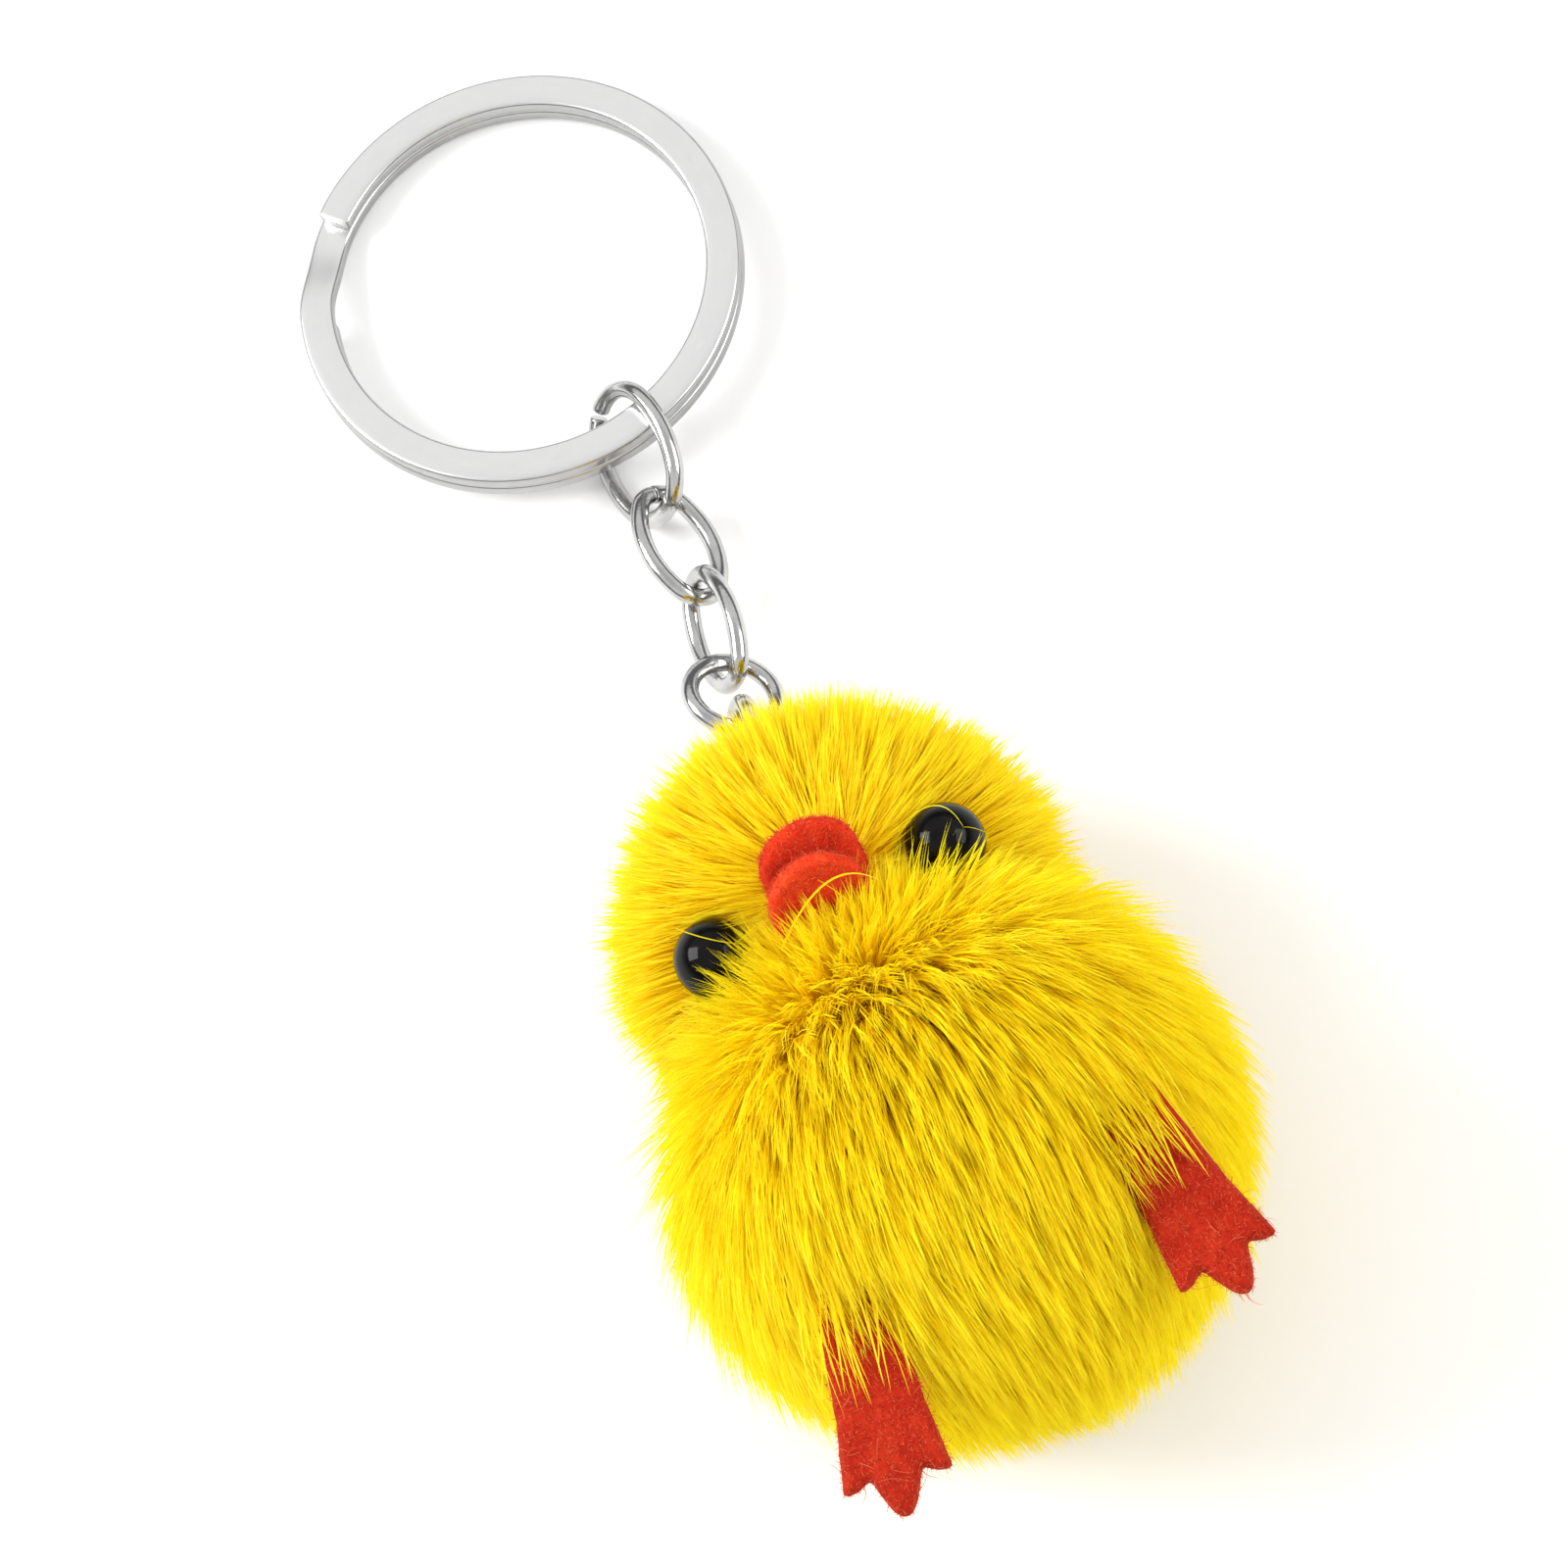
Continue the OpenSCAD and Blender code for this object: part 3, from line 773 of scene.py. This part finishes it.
def eye(name, side):
    """Bead eye turned as one lathe profile: glossy dome, thin rim, ribbed stem."""
    r = EYE_D / 2
    rows = [(0.0, r + EYE_OUT)]
    low = math.degrees(math.asin((EYE_SEAT + 0.15 - EYE_OUT) / r))
    for a in np.radians(np.linspace(90, low, 40)[1:]):
        rows.append((r * math.cos(a), EYE_OUT + r * math.sin(a)))
    edge = rows[-1][0]
    rows += [(edge + 0.02, EYE_SEAT + 0.06), (edge - 0.08, EYE_SEAT)]
    rows += [(0.75, EYE_SEAT), (0.6, EYE_SEAT - 0.12)]
    for k in range(5):
        z = EYE_SEAT - 0.35 - 0.55 * k
        rows += [(0.6, z), (0.52, z - 0.18), (0.6, z - 0.36)]
    rows += [(0.45, EYE_SEAT - 3.6 + 0.05), (0.0, EYE_SEAT - 3.6)]
    rows = [(x, min(z, rows[0][1])) for x, z in rows]
    count = 72
    spin = np.radians(np.arange(count) * 360 / count)
    points, faces = [np.array([0, 0, rows[0][1]])], []
    for x, z in rows[1:-1]:
        points += [np.array([x * math.cos(a), x * math.sin(a), z]) for a in spin]
    points.append(np.array([0, 0, rows[-1][1]]))
    last = len(points) - 1
    for k in range(count):
        l = (k + 1) % count
        faces.append((0, 1 + k, 1 + l))
        for row in range(len(rows) - 3):
            a = 1 + row * count
            faces.append((a + k, a + count + k, a + count + l, a + l))
        a = 1 + (len(rows) - 3) * count
        faces.append((a + k, last, a + l))
    return add_mesh(name, np.array(points) @ eye_turn(side).T + HEAD_C, faces, BEAD)


# --- Soft fillings and skins -----------------------------------------------------
def stuffed_ball(name, centre, radius, cut, lumps, seed, mat):
    """A ball with a flat gathered side, filled out by a cloth simulation. It is
    simulated twenty times larger, where the solver is at ease, then set to size."""
    up = 20.0 * MM
    bm = bmesh.new()
    bmesh.ops.create_icosphere(bm, subdivisions=5, radius=1.0)
    co = np.array([v.co for v in bm.verts])
    shape = co * radius
    shape[:, 1] = np.clip(shape[:, 1], *cut)
    lump = noise3(co, 4.0, seed) * 0.6 + noise3(co, 9.0, seed + 1) * 0.4
    shape *= (1 - lumps * (0.5 + 0.5 * lump))[:, None]
    for v, p in zip(bm.verts, shape * up):
        v.co = p
    mesh = bpy.data.meshes.new(name)
    bm.to_mesh(mesh)
    bm.free()
    mesh.materials.append(mat)
    obj = add_object(name, mesh)
    inflate(obj, voxel=0.9 * up, cap=0.5 * up, pressure=4.0)
    points = get_points(obj) / up
    reach = np.linalg.norm(points, axis=1)
    points *= np.minimum(1, radius / np.maximum(reach, 1e-9))[:, None]
    set_points(obj, (points + centre) * MM)
    obj.data.polygons.foreach_set("use_smooth", [True] * len(obj.data.polygons))
    obj.data.update()
    return obj


def apply_modifiers(obj):
    dg = bpy.context.evaluated_depsgraph_get()
    made = bpy.data.meshes.new_from_object(obj.evaluated_get(dg))
    obj.modifiers.clear()
    old, obj.data = obj.data, made
    bpy.data.meshes.remove(old)


def inflate(obj, voxel, cap, pressure):
    """Voxel remesh, cloth under pressure without gravity, a cap on how far a
    point may move, then one subdivision."""
    frames = 20
    remesh = obj.modifiers.new("remesh", "REMESH")
    remesh.mode, remesh.voxel_size = "VOXEL", voxel
    apply_modifiers(obj)
    start = get_points(obj)
    cloth = obj.modifiers.new("cloth", "CLOTH")
    cloth.settings.quality = 5
    cloth.settings.use_pressure = True
    cloth.settings.uniform_pressure_force = pressure
    cloth.settings.effector_weights.gravity = 0
    cloth.point_cache.frame_start, cloth.point_cache.frame_end = 1, frames
    for at in range(1, frames + 1):
        scene.frame_set(at)
    apply_modifiers(obj)
    move = get_points(obj) - start
    far = np.linalg.norm(move, axis=1, keepdims=True)
    move *= np.minimum(1, cap / np.maximum(far, 1e-9))
    set_points(obj, start + move)
    smooth = obj.modifiers.new("smooth", "SUBSURF")
    smooth.levels = smooth.render_levels = 1
    apply_modifiers(obj)
    scene.frame_set(1)


# --- Fur -------------------------------------------------------------------------
def spread(count):
    """Even directions over a sphere."""
    k = np.arange(count) + 0.5
    z = 1 - 2 * k / count
    a = k * math.pi * (3 - math.sqrt(5))
    r = np.sqrt(1 - z * z)
    return np.column_stack([r * np.cos(a), r * np.sin(a), z])


def tangent_part(v, n):
    return v - n * (v * n).sum(-1, keepdims=True)


def lock_hairs(centres, per, root_r, scatter, gather_by, mottle, field, maker):
    """Hairs gathered in small pointed locks. field(n) gives, at unit directions n,
    the tangent way the hair lies, its lean from the normal in degrees, the radius
    that its tips reach, and how far each lock strays."""
    n0 = unit(centres + maker.normal(scale=0.015, size=centres.shape))
    way, lean, reach, stray = field(n0)
    stray = stray[:, None]
    lean = np.radians(lean + maker.normal(scale=4.5, size=len(n0)))
    way = unit(tangent_part(way + maker.normal(size=n0.shape) * stray, n0))
    lock_dir = n0 * np.cos(lean)[:, None] + way * np.sin(lean)[:, None]
    lock_dir = unit(lock_dir + maker.normal(size=n0.shape) * stray * 0.8)
    s = np.sin(lean)
    lock_len = np.sqrt(np.maximum(reach**2 - (root_r * s) ** 2, 1)) - root_r * np.cos(lean)
    lock_len *= maker.uniform(0.80, 1.12, len(n0))
    lock_tip = n0 * root_r + lock_dir * lock_len[:, None]
    which = np.repeat(np.arange(len(n0)), per)
    k = len(which)
    n = unit(n0[which] + maker.normal(scale=scatter, size=(k, 3)))
    own = unit(lock_dir[which] + maker.normal(scale=0.06, size=(k, 3)))
    length = lock_len[which] * (1.06 - 0.42 * maker.beta(1.2, 1.8, k))
    root = n * (root_r - 0.25)
    free_tip = root + own * length[:, None]
    gather = maker.normal(gather_by, 0.14, len(n0))[which] + maker.normal(0, 0.08, k)
    gather = np.clip(gather, 0.05, 0.95)[:, None]
    shrink = (length / lock_len[which])[:, None]
    lock_point = n0[which] * root_r * (1 - shrink) + lock_tip[which] * shrink
    tip = free_tip * (1 - gather) + lock_point * gather
    ctrl = root + (n * 0.7 + own * 0.5) * (0.44 * length[:, None])
    tone = maker.normal(0.55, 0.18, k) + maker.normal(0, mottle, len(n0))[which]
    return root, ctrl, tip, np.clip(tone, 0, 1)


def ramp01(x, low, high):
    """A smooth step from 0 at low to 1 at high."""
    t = np.clip((x - low) / (high - low), 0, 1)
    return t * t * (3 - 2 * t)


FACE_WAY = unit(np.array([0, -2.6, 11.0]))
PIN_WAY = unit(HOOK_4 - HEAD_C)
EYE_POINTS = [HEAD_C + EYE_OUT * eye_turn(side)[:, 2] for side in (-1, 1)]
TO_FEET = np.array([[0, -1.0, 0]])


def wander(n, rate, seed):
    """A smooth drift of the hair's way over a ball."""
    return np.stack([noise3(n, rate, seed + k) for k in range(3)], -1)


def head_field(n):
    """Hair radiates from the beak over the head and stands up at the outline. At
    the neck it reaches over towards the body, round the eye pin it closes in."""
    theta = np.degrees(np.arccos(np.clip(n @ FACE_WAY, -1, 1)))
    to_body = (ramp01(-n[:, 1], -0.1, 0.35) * ramp01(theta, 60, 100))[:, None]
    way = tangent_part(-FACE_WAY[None], n) * (1 - to_body) + tangent_part(TO_FEET, n) * to_body
    way = way + 0.12 * wander(n, 3.0, 11)
    near_pin = ramp01(n @ PIN_WAY, 0.84, 0.97)
    lean = 58 - 30 * ramp01(theta, 40, 84) + 3.5 * noise3(n, 4.0, 14)
    lean = lean * (1 - 0.5 * near_pin)
    reach = 14.2 + 1.9 * ramp01(theta, 30, 66) + 2.6 * near_pin + 0.22 * noise3(n, 5.0, 15)
    return way, np.clip(lean, 4, 62), reach, np.full(len(n), 0.05)


def body_field(n):
    """Hair parts along a ridge over the chest, below the beak: it stands there in
    loose tufts, and lies away from the ridge all round, towards the feet."""
    flat = np.ones(len(n))
    ridge = unit(np.column_stack([0.6 * n[:, 0] - 0.06, 0.84 * flat, 0.54 * flat]))
    theta = np.degrees(np.arccos(np.clip((n * ridge).sum(-1), -1, 1)))
    away = unit(tangent_part(-ridge, n))
    combed = (0.8 * ramp01(theta, 15, 60) * ramp01(-away[:, 1], -0.4, 0.5))[:, None]
    way = away * (1 - combed) + tangent_part(TO_FEET, n) * combed + 0.08 * wander(n, 5.0, 21)
    under = ramp01(-n[:, 2], -0.2, 0.4) * ramp01(n[:, 1], 0.4, 0.75)
    lean = 6 + 52 * ramp01(theta, 3, 27) - 16 * ramp01(theta, 75, 115)
    lean -= 12 * ramp01(-n[:, 1], 0.6, 1.0)
    lean = (lean + 3 * noise3(n, 6.0, 24)) * (1 - 0.75 * under)
    reach = BODY_R + 0.7 + 0.25 * noise3(n, 5.0, 25) - 0.4 * ramp01(n[:, 1], 0.2, 0.7)
    loose = 0.05 + 0.15 * (1 - ramp01(theta, 24, 40))
    return way, np.clip(lean, 2, 62), reach, loose


def push_out(line, centre, radius):
    """Moves points out of a ball, straight away from its middle."""
    gap = line - centre
    far = np.linalg.norm(gap, axis=-1, keepdims=True)
    return np.where(far < radius, centre + gap / np.maximum(far, 1e-6) * radius, line)


def clear_slab(line, origin, spin, width, length, thick):
    """Moves points out of a flat piece, through its nearer face."""
    local = (line - origin) @ spin
    x, y, z = np.moveaxis(local, -1, 0)
    inside = (np.abs(x) < width) & (y > -0.5) & (y < length) & (np.abs(z) < thick)
    local[..., 2] = np.where(inside, np.where(z >= 0, thick, -thick), z)
    return local @ spin.T + origin


def rest_on_floor(line, give=0.4):
    """Lets points sink towards the floor but never through it."""
    z = line[..., 2]
    line[..., 2] = np.where(z < give, give * np.exp(np.minimum((z - give) / give, 0)), z)
    return line


def clear_face(line):
    """Keeps hair out of the eyes and the bills."""
    for e in EYE_POINTS:
        line = push_out(line, e, EYE_D / 2 + 0.22)
    size = (BILL_W / 2 + 0.05, BILL_L + 0.1, BILL_T / 2 + 0.12)
    for root, lean in (LOWER_BILL, UPPER_BILL):
        line = clear_slab(line, root, bill_turn(lean), *size)
    return line


def settle_head(line):
    """Head hair also stops softly at the neck, further back away from its middle."""
    line = clear_face(line)
    off_axis = np.hypot(line[..., 0], line[..., 2] - 16)
    limit = NECK_Y + 0.25 - 5.0 * ramp01(off_axis, 7.5, 12)
    past = np.maximum(limit - line[..., 1], 0)
    stop = limit - 1.6 * (1 - np.exp(-past / 1.6))
    line[..., 1] = np.where(past > 0, stop, line[..., 1])
    return rest_on_floor(line)


def settle_body(line):
    """Body hair also lies round the head and the feet."""
    t = np.linspace(0, 1, line.shape[1])[None, :, None]
    line = clear_face(push_out(line, HEAD_C, 11.9 + 1.6 * t))
    size = (FOOT_W / 2 + 0.1, FOOT_L + 0.2, FOOT_T / 2 + 0.12)
    for root, yaw in (LEFT_FOOT, RIGHT_FOOT):
        line = clear_slab(line, root, foot_turn(yaw), *size)
    return rest_on_floor(line)


def grow(centre, root_r, locks, per, gather_by, mottle, width, field, settle, keep, into_eye, seed):
    """Locks of fur over a ball, as (root, ctrl, tip, width, tone) rows that are
    kept. Hairs that would run further than into_eye into an eye are left out."""
    maker = np.random.default_rng(seed)
    scatter = 1.4 / math.sqrt(locks)
    made = lock_hairs(spread(locks), per, root_r, scatter, gather_by, mottle, field, maker)
    root, ctrl, tip = [a + centre for a in made[:3]]
    good = keep(root, tip)
    for t in (0.25, 0.5, 0.75, 1.0):
        at = (1 - t) ** 2 * root + 2 * t * (1 - t) * ctrl + t * t * tip
        for e in EYE_POINTS:
            good &= np.linalg.norm(at - e, axis=1) > EYE_D / 2 - into_eye
    width = np.clip(maker.normal(width, 0.018, len(root)), 0.05, 0.14)
    return [a[good] for a in (root, ctrl, tip, width, made[3])], settle, maker


def fur_pieces(name, grown, most=28000, segs=4):
    """Splits the hairs, which run from the top down, into pieces of even size."""
    rows, settle, maker = grown
    order = np.argsort(-rows[0][:, 2], kind="stable")
    rows = [a[order] for a in rows]
    count = math.ceil(len(order) / most)
    made = []
    for k in range(count):
        part = [a[k * len(order) // count:(k + 1) * len(order) // count] for a in rows]
        made.append(add_strands(f"{name}_{k + 1}", *ribbons(*part, segs, maker, bow=settle), FUR))
    return made


def head_keep(root, tip):
    """No hair grows under the eyes, the beak and the pin, or past the neck."""
    n = unit(root - HEAD_C)
    stems = [HEAD_C + 11 * unit(e - HEAD_C) for e in EYE_POINTS]
    off_eyes = np.min([np.linalg.norm(root - e, axis=1) for e in stems], axis=0) > 2.25
    x, y, z = ((root - (LOWER_BILL[0] + UPPER_BILL[0]) / 2) @ bill_turn(BILL_TILT)).T
    off_beak = (np.abs(x) > BILL_W / 2 - 0.3) | (np.abs(z) > BILL_T + 0.3) | (y > 3)
    off_pin = n @ PIN_WAY < math.cos(math.radians(3.5))
    return off_eyes & off_beak & off_pin & (root[:, 1] > NECK_Y + 0.5)


def body_keep(root, tip):
    """No hair inside the head or past the neck, and few that end on a foot."""
    in_head = np.linalg.norm(root - HEAD_C, axis=1) < 11.6
    on_foot = np.zeros(len(root), bool)
    for start, yaw in (LEFT_FOOT, RIGHT_FOOT):
        x, y, z = ((tip - start) @ foot_turn(yaw)).T
        on_foot |= (np.abs(x) < FOOT_W / 2) & (y > 6.8) & (y < FOOT_L) & (z > 0) & (z < 7)
    spared = np.arange(len(root)) % 8 == 0  # one hair in eight stays
    return ~in_head & (root[:, 1] < NECK_Y - 0.4) & (~on_foot | spared)


# --- Build -----------------------------------------------------------------------
def thread_ring(name, y, z):
    """Two plies of sewing thread twisted round the gathered edge of a cover."""
    a = np.linspace(0, 2 * math.pi, 240, endpoint=False)
    points, faces = np.zeros((0, 3)), []
    for ply in (0, math.pi):
        twist = 36 * a + ply
        r = 3.74 + 0.105 * np.cos(twist) + 0.02 * np.sin(9 * a)
        rise = y + 0.105 * np.sin(twist) + 0.02 * np.sin(7 * a)
        path = np.column_stack([r * np.cos(a), rise, z + r * np.sin(a)])
        ahead = unit(np.roll(path, -1, 0) - np.roll(path, 1, 0))
        side = unit(np.cross(ahead, [0, 1.0, 0]))
        up = np.cross(side, ahead)
        p, f = sweep(path, side, up, 0.11 * circle(8), closed=True)
        faces += [tuple(i + len(points) for i in face) for face in f]
        points = np.vstack([points, p])
    return add_mesh(name, points, faces, THREAD)


def facing(right, up, near):
    """A point given across, up and towards the front view, in millimetres."""
    return CAM_RIGHT * right + CAM_UP * up - CAM_FORWARD * near


def over_eye(e, marks, width, maker):
    """One long hair that lies over an eye, through three marks across and up."""
    reach = EYE_D / 2 + 0.25
    knots = [e + facing(a, b, math.sqrt(max(reach**2 - a * a - b * b, 0.1))) for a, b in marks]
    ctrl = 2 * knots[1] - (knots[0] + knots[2]) / 2
    return [np.array([x]) for x in (knots[0], ctrl, knots[2], width, maker.uniform(0.7, 1))]


def long_hairs(name, rows, segs, maker):
    """A piece of single long hairs from (root, ctrl, tip, width, tone) rows."""
    columns = [np.concatenate(x) for x in zip(*rows)]
    return add_strands(name, *ribbons(*columns, segs, maker), FUR)


def eye_strays():
    """The few stray hairs that cross the eyes and arch over the lower bill."""
    maker = np.random.default_rng(81)
    left, right = EYE_POINTS
    rows = [
        over_eye(right, [(-0.4, -2.4), (0.4, -0.8), (1.0, 0.8)], 0.15, maker),
        over_eye(right, [(0.0, -2.4), (0.5, -1.1), (0.8, 0.1)], 0.14, maker),
        over_eye(right, [(-0.8, -2.3), (-0.9, -1.6), (-1.2, -0.9)], 0.12, maker),
        over_eye(right, [(-2.3, 1.5), (-0.4, 2.3), (1.1, 0.9)], 0.08, maker),
        over_eye(right, [(1.1, 1.0), (1.8, 0.9), (2.6, 0.6)], 0.08, maker),
        over_eye(left, [(-2.4, 1.9), (0.0, 1.2), (2.4, 0.9)], 0.08, maker),
        over_eye(left, [(0.6, -2.4), (0.3, -1.4), (-0.4, -0.6)], 0.13, maker),
        over_eye(left, [(1.4, -2.0), (0.9, -0.9), (0.4, -0.2)], 0.13, maker),
    ]
    root, lean = LOWER_BILL
    tip = placed(bill_turn(lean), root)(np.array([0, BILL_L, -BILL_T / 2 - 0.3]))
    for start, top, stop, width in (
        ((-0.9, -6.0, 1.8), (1.7, 0.2, 3.0), (5.2, -1.8, 1.8), 0.15),
        ((3.6, -3.4, 1.6), (2.6, -2.4, 2.2), (1.3, -1.7, 1.4), 0.13),
        ((2.2, -4.4, 1.6), (1.2, -3.4, 2.2), (0.1, -3.0, 1.4), 0.13),
    ):
        marks = [tip + facing(*m) for m in (start, top, stop)]
        rows.append([np.array([x]) for x in (*marks, width, 0.7)])
    return long_hairs("face_stray_hairs", rows, 16, maker)


def foot_hairs(name, lay, seed):
    """Body hairs that reach over the first half of a foot."""
    maker = np.random.default_rng(seed)
    k = 60
    side, run = maker.uniform(-3.0, 3.0, k), maker.uniform(6.5, 12.0, k)
    start = np.column_stack([side, maker.uniform(-1.0, 1.5, k), maker.uniform(1.0, 2.4, k)])
    stop = np.column_stack([side * 0.9 + maker.normal(0, 0.9, k), run, maker.uniform(1.0, 1.7, k)])
    arch = np.column_stack([maker.normal(0, 0.4, k), np.zeros(k), maker.uniform(0.6, 1.4, k)])
    marks = [lay(p) for p in (start, (start + stop) / 2 + arch, stop)]
    row = [*marks, maker.uniform(0.12, 0.17, k), maker.uniform(0.3, 1, k)]
    return long_hairs(name, [row], 8, maker)


def solidify(obj, thick):
    """Gives a skin its thickness inwards."""
    shell = obj.modifiers.new("shell", "SOLIDIFY")
    shell.thickness, shell.offset = thick * MM, -1
    apply_modifiers(obj)


def place(obj, body, slot, *nodes):
    """Ties a piece to its body and hides the CAD nodes it stands for. slot is not used."""
    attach(obj, body)
    if nodes:
        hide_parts(*nodes)


make_lights()
place(split_ring(), "ring", "bright_nickel", "split_ring")
chain = chain_parts()
for name, body, slot in (
    ("chain_link_1", "link_1", "bright_nickel"),
    ("chain_link_2", "link_2", "bright_nickel"),
    ("chain_link_3", "link_3", "bright_nickel"),
    ("jump_ring", "jump", "bright_nickel"),
    ("eye_pin", "plush_head", "steel_zinc"),
):
    place(chain[name], body, slot, name)

bill_edge = dense(bill_outline(), 0.16)
for name, (root, lean), mat, slot, cup, seed in (
    # the upper bill wears the lightened red felt: painted light over its shade
    ("beak_upper", UPPER_BILL, FELT_RED_PAINTED_LIGHT, "red_felt", -0.25, 31),
    ("beak_lower", LOWER_BILL, FELT_ORANGE, "orange_felt", 0.25, 32),
):
    lay = placed(bill_turn(lean), root)
    slab = felt_slab(f"{name}_felt", bill_edge, BILL_T, 0.22, cupped(cup), lay, mat)
    place(slab, "plush_head", slot, name)
    place(fuzz(f"{name}_fuzz", slab, 4200, 0.34, seed), "plush_head", slot)

foot_edge = dense(smooth_outline(dense(foot_outline(), 0.55)), 0.18)
for name, (root, yaw), body, seed in (
    ("left_foot", LEFT_FOOT, "foot_left", 41),
    ("right_foot", RIGHT_FOOT, "foot_right", 42),
):
    lay = placed(foot_turn(yaw), root)
    bend = waved(0.25, seed)
    slab = felt_slab(f"{name}_felt", foot_edge, FOOT_T, 0.28, bend, lay, FELT_RED)
    place(slab, body, "red_felt", name)
    place(fuzz(f"{name}_fuzz", slab, 6000, 0.36, seed), body, "red_felt")
    lint = fuzz(f"{name}_lint", slab, 110, 2.0, seed + 10, (0.01, 0.06), 0.05)
    place(lint, body, "red_felt")
    hairs = foot_hairs(f"{name}_fur", lay, seed + 20)
    near, far = lay(np.array([[0, 1.0, 0], [0, 5.0, 0]])) * MM
    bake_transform(hairs)

place(eye("left_eye_bead", -1), "plush_head", "black_bead", "left_eye")
place(eye("right_eye_bead", 1), "plush_head", "black_bead", "right_eye")
place(eye_strays(), "plush_head", "yellow_fur")
for name, mat in (("eye_washers", NYLON), ("pin_washer", ZINC)):
    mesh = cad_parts[name].data
    for k in range(len(mesh.materials)):
        mesh.materials[k] = mat
for part, y, z in (("head", NECK_Y + 1.0, HEAD_C[2]), ("body", NECK_Y - 1.0, BODY_C[2])):
    ring = thread_ring(f"{part}_gather_ply", y, z)
    place(ring, f"plush_{part}", "yellow_thread", f"{part}_gather_thread")

for name, node, centre, radius, cut, lumps, seed, shell in (
    ("head_stuffing_ball", "head_stuffing", HEAD_C, HEAD_CORE - 0.15, (-3.7, 99), 0.05, 51, 0),
    ("body_stuffing_ball", "body_stuffing", BODY_C, BODY_CORE - 0.15, (-99, 10.5), 0.05, 54, 0),
    ("head_skin", "head_cover", HEAD_C, HEAD_CORE + 0.55, (-4.6, 99), 0.015, 57, 0.45),
    ("body_skin", "body_cover", BODY_C, BODY_CORE + 0.25, (-99, 11.35), 0.01, 60, 0.2),
):
    ball = stuffed_ball(name, centre, radius, cut, lumps, seed, PELT if shell else FIBRE)
    if shell:
        solidify(ball, shell)
    place(ball, f"plush_{name[:4]}", "yellow_fur" if shell else "white_fibre", node)

head_hairs = grow(
    HEAD_C, HEAD_CORE + 0.5, locks=7000, per=9, gather_by=0.34, mottle=0.10, width=0.088,
    field=head_field, settle=settle_head, keep=head_keep, into_eye=0.1, seed=71,
)
for piece in fur_pieces("head_fur", head_hairs):
    place(piece, "plush_head", "yellow_fur", "head_cover")
rows, settle, maker = grow(
    BODY_C, BODY_CORE + 0.2, locks=17000, per=7, gather_by=0.68, mottle=0.16, width=0.096,
    field=body_field, settle=settle_body, keep=body_keep, into_eye=0.5, seed=72,
)
over_neck = rows[2][:, 1] > NECK_Y - 0.2
for piece in fur_pieces("body_fur", ([a[~over_neck] for a in rows], settle, maker)):
    place(piece, "plush_body", "yellow_fur", "body_cover")
for piece in fur_pieces("neck_fur", ([a[over_neck] for a in rows], settle, maker)):
    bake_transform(piece)
    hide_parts("body_cover")

FLOOR_HALF = 3000
corners = [[x, y, 0.0] for y in (-FLOOR_HALF, FLOOR_HALF) for x in (-FLOOR_HALF, FLOOR_HALF)]
floor = add_mesh("floor", corners, [(0, 1, 3, 2)], floor_paint("floor"), smooth=False)
